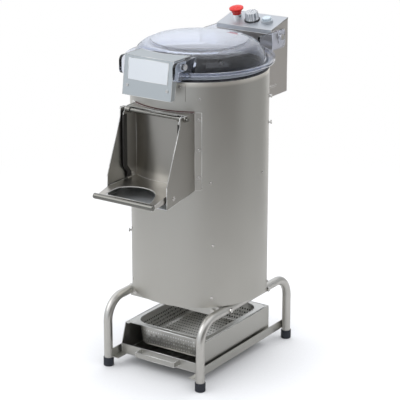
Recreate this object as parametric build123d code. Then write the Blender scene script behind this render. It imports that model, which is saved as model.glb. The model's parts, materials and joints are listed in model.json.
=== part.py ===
from build123d import *
import math
import os

# A floor-standing potato peeling machine: a drum with a spinning abrasive disc, a clear lid,
# a flap door in a chute, a control box behind and a filter drawer under a tube stand.
# Millimetres, +Z up. The front, where the door is, looks along -Y and the floor is z = 0.
# Places are given from the drum's axis, and everything is moved along Y at the end,
# so that the origin lies under the middle of the whole machine.

# Sheet, gaps and cuts shared by many pieces
sheet = 1.5
seat_gap = 0.3
fit_gap = 0.05
cut = 5.0

# Filter drawer on the rails, and the pan in it: these set the width and depth of the stand
pan_length = 325.0
pan_width = 265.0
pan_rim_corner = 22.0
pan_mouth_margin = 13.0
pan_corner = 45.0
pan_depth = 65.0
pan_taper = 7.0
pan_sheet = 1.2
pan_floor_corner = 40.0
pan_edge_round = 8.0
hole_radius = 2.9
hole_pitch = 17.0
hole_margin = 14.0
wall_hole_rise = 24.0
wall_hole_step = 11.0
wall_hole_pitch = 17.0
pan_side_gap = 3.3
pan_end_gap = 4.5
drawer_mouth_y = -176.0
drawer_front_reach = 18.0
drawer_wall_height = 86.7
drawer_front_height = 27.7
drawer_ledge = 13.0
strap_half_width = 66.0
strap_reach = 30.0
strap_rise = 12.7
strap_height = 14.0
strap_wall = 2.0
outlet_radius = 16.0
outlet_wall = 1.5
outlet_length = 30.0
outlet_rise = 22.7

# Stand
drawer_side_gap = 8.7
front_leg_reach = 35.0
rear_leg_reach = 65.0
tube_radius = 12.5
tube_wall = 1.5
bend_radius = 62.5
foot_radius = 14.75
foot_height = 25.0
foot_floor = 6.0
foot_bevel = 2.0
cross_share = 0.665
cross_height = 29.0
cross_flange = 30.0
cross_wall = 3.0
rail_low_z = 29.0
rail_height = 25.0
rail_seat = 14.8
rail_wall = 2.0
rail_overlap = 3.0

# Drum
drum_radius = 192.5
drum_wall = 1.5
drum_bottom_z = 211.0
drum_shoulder = 10.0
mouth_inset = 12.5
mouth_lip = 8.0
tube_clearance = 2.0
base_thickness = 2.0
window_over_floor = 29.0
window_under_top = 110.0
window_corner = 10.0
window_inset = 22.0

# Peeling chamber
chamber_floor_rise = 335.0
chamber_depth = 310.0
chamber_floor_thickness = 3.0
liner_thickness = 4.5
liner_over_floor = 4.0
liner_under_top = 18.0
liner_gap = 0.2
liner_segments = 6
liner_joint = 1.0
drain_x = -85.0
drain_y = -70.0
drain_radius = 25.0
drain_wall = 1.5
drain_reach = 21.0

# Spinning disc and its shaft
disc_gap = 3.0
disc_over_floor = 12.0
disc_thickness = 10.0
wave_count = 3
wave_radius = 22.0
wave_rise = 9.0
wave_inner = 48.0
wave_edge = 33.3
paddle_count = 2
paddle_height = 8.0
paddle_width = 8.0
hub_radius = 30.0
hub_rise = 12.0
cap_radius = 17.0
cap_height = 14.0
cap_bevel = 7.0
shaft_radius = 12.5
shaft_end = 6.0
floor_hole_gap = 4.0
housing_radius = 42.0
housing_height = 69.0
housing_flange_radius = 68.0
housing_flange = 8.0

# Belt drive
pulley_under_floor = 84.0
pulley_height = 22.0
disc_pulley_radius = 75.0
motor_pulley_radius = 25.0
pulley_rim = 3.0
groove_depth = 5.0
belt_thickness = 6.0
belt_width = 14.0
motor_inset = 67.5
motor_radius = 58.0
motor_floor_gap = 23.0
motor_plate_gap = 24.0
motor_plate_thickness = 3.0
motor_flange_radius = 62.0
motor_flange = 8.0
motor_shaft_radius = 9.5
motor_fin_count = 16
motor_fin_depth = 4.0
motor_fin_width = 3.0
motor_end_height = 22.0
motor_hole_radius = 20.0

# Chute in front of the window
chute_half_width = 98.0
chute_over_window = 22.0
chute_head_reach = 43.5
chute_lip_reach = 105.5
chute_lip_rise = 18.0
chute_lip_drop = 44.0
chute_root_drop = 19.0
chute_root_share = 0.7
chute_flange_width = 15.0
chute_flange_drop = 24.0
chute_roof_reach = 14.5
chute_roof_gap = 2.5
chute_bolt_inset = 30.0
chute_bolt_rise = 25.0

# Door that swings on the rod in the chute
rod_reach = 23.8
rod_over_window = 15.3
rod_radius = 5.0
rod_overhang = 6.4
rod_nut_radius = 8.0
rod_nut_height = 6.0
rod_collar_radius = 8.0
rod_bush_length = 12.0
door_side_gap = 7.0
door_front_lead = 7.5
door_top_drop = 6.3
door_ear_radius = 8.0
gasket_thickness = 2.7
gasket_border = 7.0
notch_top_rise = 37.0
notch_rise = 17.0
notch_depth = 17.0
tray_widening = 1.3
tray_drop = 8.0
tray_bend_reach = 102.5
tray_slope_drop = 13.5
tray_flange_reach = 45.5
tray_flange_depth = 18.0
tray_flange_tip = 9.0
grip_side = 19.3
grip_depth = 78.0
grip_front_gap = 9.0
bar_reach = 165.3
bar_radius = 7.6
bar_overhang = 5.2
bar_end_round = 2.5
trim_wall = 2.0
trim_depth = 12.0
trim_gap = 4.0
door_bolt_radius = 4.5
door_bolt_height = 3.0
door_bolt_inset = 35.0
door_bolt_rise = 8.0

# Clear lid
lid_overhang = 15.3
lid_rim_rise = 12.7
lid_height = 71.6
lid_wall = 4.0
lid_step_radius = 133.0
lid_step_below_top = 13.8
lid_step_run = 4.0
lid_step_drop = 4.0
lid_shoulder_inset = 11.0
lid_shoulder_height = 12.3
lid_shoulder_rise = 10.0
lid_foot_inset = 8.5
lid_rim_thickness = 4.0
lid_bead_height = 9.0
lid_bead_width = 5.5
lid_gasket_inset = 2.5
lid_gasket_width = 7.0
lug_root = 57.8
ear_side_gap = 3.5
ear_thickness = 9.0
ear_reach = 39.2
ear_drop = 3.7
ear_height = 50.0
ear_round = 14.0
latch_pivot_inset = 3.3
latch_pivot_rise = 30.3
latch_bolt_radius = 4.0
latch_head_radius = 8.0
latch_head_height = 4.0
arm_side_gap = 2.8
arm_thickness = 6.0
arm_drop = 32.0
arm_height = 52.0
arm_end = 20.0
arm_round = 12.0
lid_pivot_run = 41.9
lid_pivot_rise = 24.3
lid_bolt_radius = 5.0
lid_bolt_head = 9.0
lid_bolt_head_height = 5.0

# Front latch plate on the lid's ears
latch_half_width = 78.5
latch_top_reach = 28.3
latch_lean = 14.4
latch_over_drum = 62.9
latch_under_drum = 43.2
latch_flange = 17.0
latch_shelf_inset = 29.8
latch_cheek_rise = 30.0
latch_cheek_inset = 19.8
nameplate_side = 14.5
nameplate_height = 57.0
nameplate_margin = 7.0
nameplate_thickness = 1.0
latch_screw_side = 14.2
latch_screw_drop = 81.0
magnet_half_width = 14.0
magnet_rise = 9.2
magnet_height = 20.0
catch_side = 3.5
catch_under_drum = 58.0
catch_height = 48.0
catch_thickness = 2.0
sensor_half_width = 18.0
sensor_depth = 11.0
sensor_rise = 17.0
sensor_height = 28.0

# Control box behind the drum
box_half_width = 91.7
box_rim_gap = 15.3
box_depth = 90.3
box_under_drum = 132.0
box_over_drum = 61.8
panel_slope = 21.3
box_neck_drop = 6.0
box_neck_inset = 32.5
panel_lip = 12.0
hood_reach = 9.1
hood_length = 36.0
hood_rise = 28.0
hood_height = 12.0
hood_depth = 4.0
box_screw_inset = 10.0
box_screw_rise = 14.0
hinge_plate_thickness = 2.0
hinge_plate_front = 8.0
hinge_plate_back = 27.0
hinge_plate_low = 19.0
hinge_plate_high = 18.0

# Controls, in a row across the sloping panel
control_share = 0.545
stop_travel = 4.0
stop_collar_radius = 14.2
stop_collar_height = 14.0
stop_collar_wall = 1.5
stop_collar_well = 5.0
stop_groove_count = 24
stop_groove_radius = 0.6
stop_stem_radius = 7.5
stop_stem_length = 34.0
stop_stem_top = 25.0
stop_cap_root_radius = 13.9
stop_cap_neck_radius = 16.5
stop_cap_radius = 20.5
stop_cap_edge = 28.5
stop_cap_lip = 3.5
stop_cap_crown = 5.0
timer_ring_radius = 22.5
timer_ring_height = 3.0
timer_knob_radius = 20.0
timer_top_radius = 18.5
timer_knob_height = 25.0
timer_rib_count = 18
timer_rib_radius = 2.0
timer_shaft_radius = 3.0
timer_shaft_depth = 14.0
timer_pointer_width = 2.4
timer_pointer_rise = 0.8
start_ring_radius = 16.5
start_ring_height = 7.0
start_cap_radius = 13.0
start_cap_height = 15.0
start_cap_round = 3.0
start_cap_depth = 8.0
start_hole_radius = 14.0
switch_half_width = 16.0
switch_depth = 48.0
switch_travel_room = 8.0
timer_body_half_width = 21.0

# Water and electric connections
valve_x = -45.0
valve_half_width = 20.0
valve_length = 48.0
valve_rise = 41.0
valve_height = 70.0
nozzle_radius = 9.0
nozzle_rise = 47.0
spigot_radius = 13.2
spigot_run = 26.0
spigot_length = 22.0
spigot_bore = 8.0
valve_pipe_radius = 10.5
gland_x = 45.0
gland_inset = 33.4
gland_radius = 12.0
gland_length = 20.0
gland_nut_height = 6.0
gland_bore = 5.0

# Small fasteners
screw_radius = 4.0
screw_head = 2.2
screw_edge = 0.8
washer_radius = 6.5
washer_height = 1.2
bolt_radius = 7.0
bolt_head = 5.0
frame_bolt_inset = 25.0
base_screw_rise = 28.0
plate_screw_drop = 25.0
floor_screw_rise = 25.0
mouth_screw_drop = 52.0
drum_screw_azimuths = ((44, 136), (45, 135), (43, 98, 153), (34,))
stud_azimuth = 121
stud_radius = 3.0
stud_nut_radius = 5.5
stud_nut_height = 4.0
stud_length = 8.0
upper_stud_drop = 89.0
lower_stud_drop = 164.0
left_stud_azimuth = -54
left_stud_drop = 42.0
flange_screw_shares = (0.17, 0.52, 0.91)
catch_screw_side = 14.5
catch_screw_drop = 8.0

# Sizes worked out from the ones above: drawer and stand
drawer_half_width = pan_width / 2 + pan_side_gap
drawer_front_y = drawer_mouth_y - drawer_front_reach
drawer_back_y = drawer_mouth_y + pan_length + 2 * pan_end_gap
drawer_floor_z = rail_low_z + rail_wall + seat_gap
drawer_top_z = drawer_floor_z + drawer_wall_height
drawer_front_z = drawer_floor_z + drawer_front_height
strap_low_z = drawer_floor_z + strap_rise
outlet_z = drawer_floor_z + outlet_rise
pan_rim_z = drawer_top_z + seat_gap
pan_middle_y = (drawer_mouth_y + drawer_back_y) / 2
stand_half_width = drawer_half_width + drawer_side_gap + tube_radius
front_leg_y = drawer_front_y - front_leg_reach
rear_leg_y = drawer_back_y + rear_leg_reach
tube_z = drum_bottom_z - tube_clearance - tube_radius
cross_y = drum_radius * cross_share
rail_x = stand_half_width - tube_radius
rail_top_z = rail_low_z + rail_height
rail_flange = drawer_side_gap + rail_seat
frame_bolt_x = stand_half_width - frame_bolt_inset

# Drum, chamber and drive
chamber_floor_z = drum_bottom_z + chamber_floor_rise
drum_top_z = chamber_floor_z + chamber_depth
shell_inner = drum_radius - drum_wall
mouth_radius = drum_radius - mouth_inset
window_low_z = chamber_floor_z + window_over_floor
window_top_z = drum_top_z - window_under_top
liner_low_z = chamber_floor_z + liner_over_floor
liner_top_z = drum_top_z - liner_under_top
liner_outer = shell_inner - liner_gap
liner_inner = liner_outer - liner_thickness
drain_end_z = drum_bottom_z - drain_reach
disc_low_z = chamber_floor_z + disc_over_floor
disc_radius = liner_inner - disc_gap
disc_top_z = disc_low_z + disc_thickness
wave_outer = disc_radius - wave_edge
cap_top_z = disc_top_z + hub_rise + cap_height
housing_low_z = chamber_floor_z - chamber_floor_thickness - housing_height
pulley_top_z = chamber_floor_z - pulley_under_floor
pulley_low_z = pulley_top_z - pulley_height
shaft_low_z = pulley_low_z - shaft_end
motor_plate_z = pulley_low_z - motor_plate_gap
motor_low_z = drum_bottom_z + base_thickness + motor_floor_gap
motor_y = drum_radius - motor_inset

# Chute and door
window_half_width = chute_half_width - window_inset
chute_top_z = window_top_z + chute_over_window
chute_front_y = -drum_radius - chute_head_reach
chute_lip_y = -drum_radius - chute_lip_reach
chute_lip_top_z = window_low_z + chute_lip_rise
chute_lip_low_z = window_low_z - chute_lip_drop
chute_root_y = -drum_radius * chute_root_share
chute_root_z = window_low_z - chute_root_drop
chute_flange_low_z = window_low_z - chute_flange_drop
chute_roof_front_y = -drum_radius - chute_roof_reach
rod_y = -drum_radius - rod_reach
rod_z = window_top_z + rod_over_window
door_half_width = chute_half_width - door_side_gap
door_inner_radius = drum_radius + seat_gap + gasket_thickness
door_front_y = rod_y - door_ear_radius - door_front_lead
door_top_z = rod_z - door_top_drop
tray_half_width = door_half_width + tray_widening
tray_z = window_low_z - tray_drop
tray_end_z = tray_z - tray_slope_drop
tray_bend_y = -drum_radius - tray_bend_reach
tray_flange_start_y = -drum_radius - tray_flange_reach
notch_top_z = tray_z + notch_top_rise
notch_z = tray_z + notch_rise
grip_half_width = tray_half_width - grip_side
bar_y = -drum_radius - bar_reach
bar_half_length = tray_half_width + bar_overhang

# Lid and latch plate
lid_rim_radius = drum_radius + lid_overhang
lid_rim_z = drum_top_z + lid_rim_rise
lid_top_z = lid_rim_z + lid_height
lid_step_z = lid_top_z - lid_step_below_top
lid_shoulder_radius = drum_radius - lid_shoulder_inset
lid_shoulder_z = lid_rim_z + lid_shoulder_height
lid_foot_radius = drum_radius - lid_foot_inset
lid_gasket_outer = drum_radius - lid_gasket_inset
lid_gasket_inner = lid_gasket_outer - lid_gasket_width
ear_inner_x = latch_half_width + ear_side_gap
ear_front_y = -lid_rim_radius - ear_reach
ear_root_y = -lid_rim_radius + lug_root
ear_low_z = lid_rim_z - ear_drop
ear_top_z = ear_low_z + ear_height
latch_pivot_y = -lid_rim_radius + latch_pivot_inset
latch_pivot_z = lid_rim_z + latch_pivot_rise
latch_top_y = -lid_rim_radius - latch_top_reach
latch_low_y = latch_top_y - latch_lean
latch_top_z = drum_top_z + latch_over_drum
latch_low_z = drum_top_z - latch_under_drum
latch_shelf_radius = lid_rim_radius - latch_shelf_inset
latch_cheek_low_z = drum_top_z + latch_cheek_rise
latch_cheek_y = -lid_rim_radius + latch_cheek_inset
nameplate_half_width = latch_half_width - nameplate_side
latch_screw_x = latch_half_width - latch_screw_side
magnet_low_z = latch_low_z + magnet_rise
catch_half_width = latch_half_width - catch_side
catch_low_z = drum_top_z - catch_under_drum
catch_top_z = catch_low_z + catch_height
catch_screw_x = catch_half_width - catch_screw_side
sensor_low_z = catch_low_z + sensor_rise

# Control box and what it holds
box_front_y = lid_rim_radius + box_rim_gap
box_back_y = box_front_y + box_depth
box_low_z = drum_top_z - box_under_drum
box_front_z = drum_top_z + box_over_drum
box_back_z = box_front_z + panel_slope
box_neck_z = drum_top_z - box_neck_drop
box_neck_y = drum_radius - box_neck_inset
hood_front_y = box_front_y - hood_reach
hood_back_y = hood_front_y + hood_length
hood_low_z = box_low_z + hood_rise
lid_pivot_y = box_front_y + lid_pivot_run
lid_pivot_z = lid_rim_z + lid_pivot_rise
control_pitch = box_half_width * control_share
arm_inner_x = box_half_width + arm_side_gap
arm_root_y = lid_rim_radius - lug_root
arm_low_z = lid_pivot_z - arm_drop
arm_top_z = arm_low_z + arm_height
stop_cap_low = stop_collar_height + seat_gap
stop_root_height = stop_travel + seat_gap
stop_cap_top = stop_cap_edge + stop_cap_lip + stop_cap_crown
stop_root_radius = stop_collar_radius - stop_collar_wall - seat_gap
valve_front_y = box_front_y - hood_reach
valve_back_y = valve_front_y + valve_length
valve_low_z = box_low_z + valve_rise
valve_top_z = valve_low_z + valve_height
nozzle_z = valve_low_z + nozzle_rise
spigot_y = valve_front_y + spigot_run
gland_y = box_back_y - gland_inset
front_reach = bar_y - bar_radius
back_reach = box_back_y + screw_head
origin_y = (front_reach + back_reach) / 2

FROM_BASE = (Align.CENTER, Align.CENTER, Align.MIN)
FROM_CORNER = (Align.MIN, Align.MIN, Align.MIN)

# The sloping panel carries the controls: its own x runs along X and its own z stands off it
panel_run = box_back_y - box_front_y
panel_rise = box_back_z - box_front_z
panel_length = math.hypot(panel_run, panel_rise)
panel_plane = Plane(
    origin=(0, box_front_y, box_front_z),
    x_dir=(1, 0, 0),
    z_dir=(0, -panel_rise, panel_run),
)

# The front latch plate leans: this plane has its y up the plate and its z out of it
latch_run = latch_top_y - latch_low_y
latch_fall = latch_top_z - latch_low_z
latch_plane = Plane(
    origin=(0, latch_top_y, latch_top_z),
    x_dir=(1, 0, 0),
    z_dir=(0, -latch_fall, latch_run),
)


# Shapes used by several pieces


def between(a, b):
    """The two values in rising order."""
    return min(a, b), max(a, b)


def block(x, y, z):
    """A block that fills three ranges."""
    size = [high - low for low, high in (x, y, z)]
    return Pos(x[0], y[0], z[0]) * Box(*size, align=FROM_CORNER)


def upright(radius, z, at=(0, 0)):
    """A cylinder along Z."""
    return Pos(at[0], at[1], z[0]) * Cylinder(radius, z[1] - z[0], align=FROM_BASE)


def sleeve(outer, inner, z, at=(0, 0)):
    """A tube along Z."""
    return upright(outer, z, at) - upright(inner, z, at)


def rod_x(radius, x, y, z):
    """A cylinder along X."""
    return Pos(x[0], y, z) * Rot(0, 90, 0) * Cylinder(radius, x[1] - x[0], align=FROM_BASE)


def rod_y_way(radius, x, y, z):
    """A cylinder along Y."""
    return Pos(x, y[0], z) * Rot(-90, 0, 0) * Cylinder(radius, y[1] - y[0], align=FROM_BASE)


def hexagon_x(radius, x, y, z):
    """A hexagonal head or nut along X, with its corners on the radius."""
    face = Plane.YZ.offset(x[0]) * Pos(y, z) * RegularPolygon(radius, 6)
    return extrude(face, amount=x[1] - x[0], dir=(1, 0, 0))


def side_cut(points, x):
    """An outline in Y and Z, as a plate that fills a range of X."""
    face = Plane.YZ.offset(x[0]) * make_face(Polyline(*points, close=True))
    return extrude(face, amount=x[1] - x[0], dir=(1, 0, 0))


def turned(*edges):
    """Edges of a closed outline in radius and height, turned about Z."""
    return revolve(Plane.XZ * make_face(edges), Axis.Z)


def chain(*points):
    """Straight edges through the points."""
    return Polyline(*points).edges()


def bulge(start, end, rise):
    """An arc from start to end, whose middle lies off the chord to the left by the rise."""
    run = end[0] - start[0]
    climb = end[1] - start[1]
    length = math.hypot(run, climb)
    middle_x = (start[0] + end[0]) / 2 - climb / length * rise
    middle_y = (start[1] + end[1]) / 2 + run / length * rise
    return ThreePointArc(start, (middle_x, middle_y), end)


def both_sides(shape):
    """The shape and its mirror image in the machine's middle plane."""
    return [shape, mirror(shape, about=Plane.YZ)]


def hexagon_y(radius, x, y, z):
    """A hexagonal prism along Y, with its corners on the radius."""
    face = Plane.XZ.offset(-y[0]) * Pos(x, z) * RegularPolygon(radius, 6)
    return extrude(face, amount=y[1] - y[0], dir=(0, 1, 0))


def screw_at(plane):
    """A low round screw head that stands on a plane."""
    head = Cylinder(screw_radius, screw_head, align=FROM_BASE)
    head = chamfer(head.edges().group_by(Axis.Z)[-1], screw_edge)
    return plane * head


def washer_screw_at(plane):
    """A round screw head on a washer."""
    washer = Cylinder(washer_radius, washer_height, align=FROM_BASE)
    return plane * washer + screw_at(plane.offset(washer_height))


def stud_at(plane):
    """A stud that stands out of a plane, with its nut at the tip."""
    shank = Cylinder(stud_radius, stud_length, align=FROM_BASE)
    nut = Pos(0, 0, stud_length - stud_nut_height) * extrude(
        RegularPolygon(stud_nut_radius, 6), amount=stud_nut_height)
    return plane * (shank + nut)


def drum_plane(azimuth, z):
    """A plane on the drum's wall, its z outwards, at an angle from the front."""
    turn = math.radians(azimuth)
    out = (math.sin(turn), -math.cos(turn), 0)
    place = (out[0] * drum_radius, out[1] * drum_radius, z)
    return Plane(origin=place, x_dir=(math.cos(turn), math.sin(turn), 0), z_dir=out)


def panel_height(y):
    """Height of the panel's upper face at a place along Y."""
    return box_front_z + (y - box_front_y) * panel_rise / panel_run


# Stand


def leg_tube(side):
    """One bent tube, that makes a front leg, a top run and a rear leg."""
    x = side * stand_half_width
    front_foot = (x, front_leg_y, foot_floor)
    front_top = (x, front_leg_y, tube_z)
    rear_top = (x, rear_leg_y, tube_z)
    rear_foot = (x, rear_leg_y, foot_floor)
    path = FilletPolyline(front_foot, front_top, rear_top, rear_foot, radius=bend_radius)
    ring = Circle(tube_radius) - Circle(tube_radius - tube_wall)
    return sweep(Plane(origin=front_foot, z_dir=(0, 0, 1)) * ring, path=path)


def rubber_foot(x, y):
    """A rubber cap that the end of a leg stands in."""
    body = upright(foot_radius, (0, foot_height), (x, y))
    body = chamfer(body.edges().group_by(Axis.Z)[0], foot_bevel)
    socket = upright(tube_radius + fit_gap, (foot_floor, foot_height + cut), (x, y))
    return body - socket


def cross_member(end):
    """An angle bar between the tubes, that carries the drum on its flange."""
    half = stand_half_width - tube_radius / 2
    face = end * cross_y
    web = block(
        (-half, half),
        between(face, face - end * cross_wall),
        (drum_bottom_z - cross_height, drum_bottom_z),
    )
    flange = block(
        (-half, half),
        between(face, face - end * cross_flange),
        (drum_bottom_z - cross_wall, drum_bottom_z),
    )
    bar = web + flange
    for side in (-1, 1):
        x = side * stand_half_width
        bar -= rod_y_way(tube_radius, x, (front_leg_y, rear_leg_y), tube_z)
    return bar


def drawer_rail(side):
    """An angle rail between a front leg and a rear leg."""
    low = rail_top_z - rail_height
    along = (front_leg_y - rail_overlap, rear_leg_y + rail_overlap)
    web = block(between(side * rail_x, side * (rail_x - rail_wall)), along, (low, rail_top_z))
    lip = between(side * rail_x, side * (rail_x - rail_flange))
    return web + block(lip, along, (low, low + rail_wall))


def frame_bolts():
    """Hexagon heads on the cross members and on the tubes."""
    bolts = []
    outer = stand_half_width + tube_radius
    for end in (-1, 1):
        for side in (-1, 1):
            face = end * cross_y
            head = Plane.XZ.offset(-face) * Pos(side * frame_bolt_x, tube_z)
            head = head * RegularPolygon(bolt_radius, 6)
            bolts.append(extrude(head, amount=bolt_head, dir=(0, end, 0)))
            y = end * (cross_y - cross_flange)
            x = between(side * outer, side * (outer + bolt_head))
            bolts.append(hexagon_x(bolt_radius, x, y, tube_z))
    return bolts


# Drum and peeling chamber


def window_prism(margin):
    """A prism through the front of the drum, as wide as the window and a margin."""
    width = 2 * (window_half_width + margin)
    height = window_top_z - window_low_z + 2 * margin
    middle = (window_top_z + window_low_z) / 2
    face = Plane.XZ * Pos(0, middle) * RectangleRounded(width, height, window_corner)
    return extrude(face, amount=drum_radius + cut, dir=(0, -1, 0))


def drum_shell():
    """The outer drum: a straight wall that rolls inwards to the mouth."""
    turn_r = drum_radius - drum_shoulder
    turn_z = drum_top_z - drum_shoulder
    outer = CenterArc((turn_r, turn_z), drum_shoulder, 0, 90)
    inner = CenterArc((turn_r, turn_z), drum_shoulder - drum_wall, 0, 90)
    mouth = chain(
        (turn_r, drum_top_z),
        (mouth_radius, drum_top_z),
        (mouth_radius, drum_top_z - mouth_lip),
        (mouth_radius + drum_wall, drum_top_z - mouth_lip),
        (mouth_radius + drum_wall, drum_top_z - drum_wall),
        (turn_r, drum_top_z - drum_wall),
    )
    wall = chain(
        (shell_inner, turn_z),
        (shell_inner, drum_bottom_z),
        (drum_radius, drum_bottom_z),
        (drum_radius, turn_z),
    )
    shell = turned(outer, inner, *mouth, *wall)
    inlet = rod_y_way(nozzle_radius, valve_x, (mouth_radius / 2, drum_radius + cut), nozzle_z)
    return shell - window_prism(0) - inlet


def drum_base():
    """The plate that closes the drum below."""
    plate = upright(shell_inner, (drum_bottom_z, drum_bottom_z + base_thickness))
    low = (drum_bottom_z - cut, drum_bottom_z + cut)
    return plate - upright(drain_radius, low, (drain_x, drain_y))


def chamber_floor():
    """The floor under the spinning disc, with the drain hole."""
    low = chamber_floor_z - chamber_floor_thickness
    plate = upright(shell_inner, (low, chamber_floor_z))
    plate -= upright(shaft_radius + floor_hole_gap, (low - cut, chamber_floor_z + cut))
    return plate - upright(drain_radius, (low - cut, chamber_floor_z + cut), (drain_x, drain_y))


def abrasive_liner():
    """The abrasive panels that line the drum above the floor, open at window and nozzle."""
    ring = sleeve(liner_outer, liner_inner, (liner_low_z, liner_top_z))
    ring -= window_prism(0)
    ring -= rod_y_way(nozzle_radius, valve_x, (mouth_radius / 2, drum_radius), nozzle_z)
    joint = block((0, drum_radius), (-liner_joint / 2, liner_joint / 2),
                  (liner_low_z - cut, liner_top_z + cut))
    for index in range(liner_segments):
        ring -= Rot(0, 0, index * 360 / liner_segments) * joint
    return ring


def drain_pipe():
    """The pipe that drops water and peel from the chamber into the pan."""
    bore = drain_radius - drain_wall
    return sleeve(drain_radius, bore, (drain_end_z, chamber_floor_z), (drain_x, drain_y))


def drum_screws():
    """Screws and studs round the drum, down the chute's flanges and on the box's cover."""
    rows = (
        drum_bottom_z + base_screw_rise,
        motor_plate_z - plate_screw_drop,
        chamber_floor_z + floor_screw_rise,
        drum_top_z - mouth_screw_drop,
    )
    heads = []
    for z, azimuths in zip(rows, drum_screw_azimuths):
        for azimuth in azimuths:
            heads += both_sides(screw_at(drum_plane(azimuth, z)))
    for drop in (upper_stud_drop, lower_stud_drop):
        heads += both_sides(stud_at(drum_plane(stud_azimuth, drum_top_z - drop)))
    heads.append(stud_at(drum_plane(left_stud_azimuth, motor_plate_z - left_stud_drop)))
    middle_x = chute_half_width + chute_flange_width / 2
    azimuth = math.degrees(math.asin(middle_x / drum_radius))
    flange_height = chute_top_z - chute_flange_low_z
    for share in flange_screw_shares:
        plane = drum_plane(azimuth, chute_flange_low_z + flange_height * share)
        heads += both_sides(washer_screw_at(plane.offset(sheet)))
    azimuth = math.degrees(math.asin(catch_screw_x / drum_radius))
    plane = drum_plane(azimuth, catch_top_z - catch_screw_drop)
    heads += both_sides(screw_at(plane.offset(catch_thickness)))
    place = (chute_half_width, chute_lip_y + chute_bolt_inset, chute_lip_low_z + chute_bolt_rise)
    heads += both_sides(washer_screw_at(Plane(origin=place, x_dir=(0, 1, 0), z_dir=(1, 0, 0))))
    return heads + cover_screws()


# Spinning disc and belt drive


def peeling_disc():
    """The abrasive disc, with raised waves above and paddles below."""
    plate = upright(disc_radius, (disc_low_z, disc_top_z))
    sunk_z = disc_top_z + wave_rise - wave_radius
    for index in range(wave_count):
        turn = Rot(0, 0, index * 360 / wave_count)
        wave = rod_x(wave_radius, (wave_inner, wave_outer), 0, sunk_z)
        wave += Pos(wave_outer, 0, sunk_z) * Sphere(wave_radius)
        wave &= upright(disc_radius, (disc_low_z, disc_top_z + wave_radius))
        plate += turn * wave
    plate += upright(hub_radius, (disc_low_z, disc_top_z + hub_rise))
    for index in range(paddle_count):
        turn = Rot(0, 0, index * 360 / paddle_count)
        side = (-paddle_width / 2, paddle_width / 2)
        paddle = block((hub_radius, disc_radius - paddle_width), side,
                       (disc_low_z - paddle_height, disc_low_z))
        plate += turn * paddle
    return plate - upright(shaft_radius, (disc_low_z - cut, disc_top_z + hub_rise + cut))


def disc_shaft():
    """The upright shaft from the big pulley to the disc."""
    return upright(shaft_radius, (shaft_low_z, disc_top_z + hub_rise))


def disc_cap():
    """The bevelled nut that holds the disc on its shaft."""
    low = disc_top_z + hub_rise
    cap = upright(cap_radius, (low, cap_top_z))
    return chamfer(cap.edges().group_by(Axis.Z)[-1], cap_bevel)


def bearing_housing():
    """The flanged housing under the floor that the shaft turns in."""
    top = chamber_floor_z - chamber_floor_thickness
    body = upright(housing_radius, (housing_low_z, top))
    body += upright(housing_flange_radius, (top - housing_flange, top))
    return body - upright(shaft_radius + fit_gap, (housing_low_z - cut, top + cut))


def grooved_pulley(radius, bore, at):
    """A pulley with a belt groove between two rims."""
    wheel = upright(radius, (pulley_low_z, pulley_top_z), at)
    low = (pulley_low_z + pulley_rim, pulley_top_z - pulley_rim)
    wheel -= sleeve(radius + cut, radius - groove_depth, low, at)
    return wheel - upright(bore, (pulley_low_z - cut, pulley_top_z + cut), at)


def belt_loop(margin):
    """The outline round both pulleys, a margin outside their grooves."""
    big = disc_pulley_radius - groove_depth + margin
    small = motor_pulley_radius - groove_depth + margin
    loop = make_hull(
        Circle(big).edges() + (Pos(0, motor_y) * Circle(small)).edges()
    )
    return loop


def drive_belt():
    """The flat belt that joins the motor's pulley to the disc's."""
    low = (pulley_low_z + pulley_top_z - belt_width) / 2
    ring = belt_loop(seat_gap + belt_thickness) - belt_loop(seat_gap)
    return extrude(Pos(0, 0, low) * ring, amount=belt_width)


def motor_plate():
    """The plate across the drum that the motor hangs from."""
    low = motor_plate_z - motor_plate_thickness
    through = (low - cut, motor_plate_z + cut)
    plate = upright(shell_inner, (low, motor_plate_z))
    plate -= upright(motor_hole_radius, through, (0, motor_y))
    return plate - upright(drain_radius, through, (drain_x, drain_y))


def motor():
    """The electric motor: a finned body, end caps and a flange."""
    top = motor_plate_z - motor_plate_thickness
    at = (0, motor_y)
    body = upright(motor_radius - motor_fin_depth, (motor_low_z, top), at)
    body += upright(motor_radius, (motor_low_z, motor_low_z + motor_end_height), at)
    fins = (motor_low_z + motor_end_height, top - motor_flange)
    side = (-motor_fin_width / 2, motor_fin_width / 2)
    for index in range(motor_fin_count):
        fin = block((motor_radius / 2, motor_radius), side, fins)
        body += Pos(0, motor_y) * Rot(0, 0, index * 360 / motor_fin_count) * fin
    body += upright(motor_flange_radius, (top - motor_flange, top), at)
    return body - upright(motor_shaft_radius + fit_gap, (motor_low_z + cut, top + cut), at)


def motor_rotor():
    """The motor's shaft, that stands out through the plate into the small pulley."""
    low = motor_low_z + cut + seat_gap
    return upright(motor_shaft_radius, (low, pulley_top_z), (0, motor_y))


# Chute


def chute_side():
    """The right side plate of the chute, with the flange that screws to the drum."""
    outline = (
        (chute_root_y, chute_top_z),
        (chute_front_y, chute_top_z),
        (chute_front_y, window_top_z),
        (chute_lip_y, chute_lip_top_z),
        (chute_lip_y, chute_lip_low_z),
        (chute_root_y, chute_root_z),
    )
    plate = side_cut(outline, (chute_half_width - sheet, chute_half_width))
    height = (chute_flange_low_z, chute_top_z)
    flange = sleeve(drum_radius + sheet, drum_radius, height)
    flange &= block(
        (chute_half_width - sheet, chute_half_width + chute_flange_width),
        (-2 * drum_radius, 0),
        height,
    )
    plate -= upright(drum_radius, (chute_lip_low_z - cut, chute_top_z + cut))
    side = plate + flange
    return side - rod_x(rod_radius, (0, 2 * chute_half_width), rod_y, rod_z)


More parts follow.
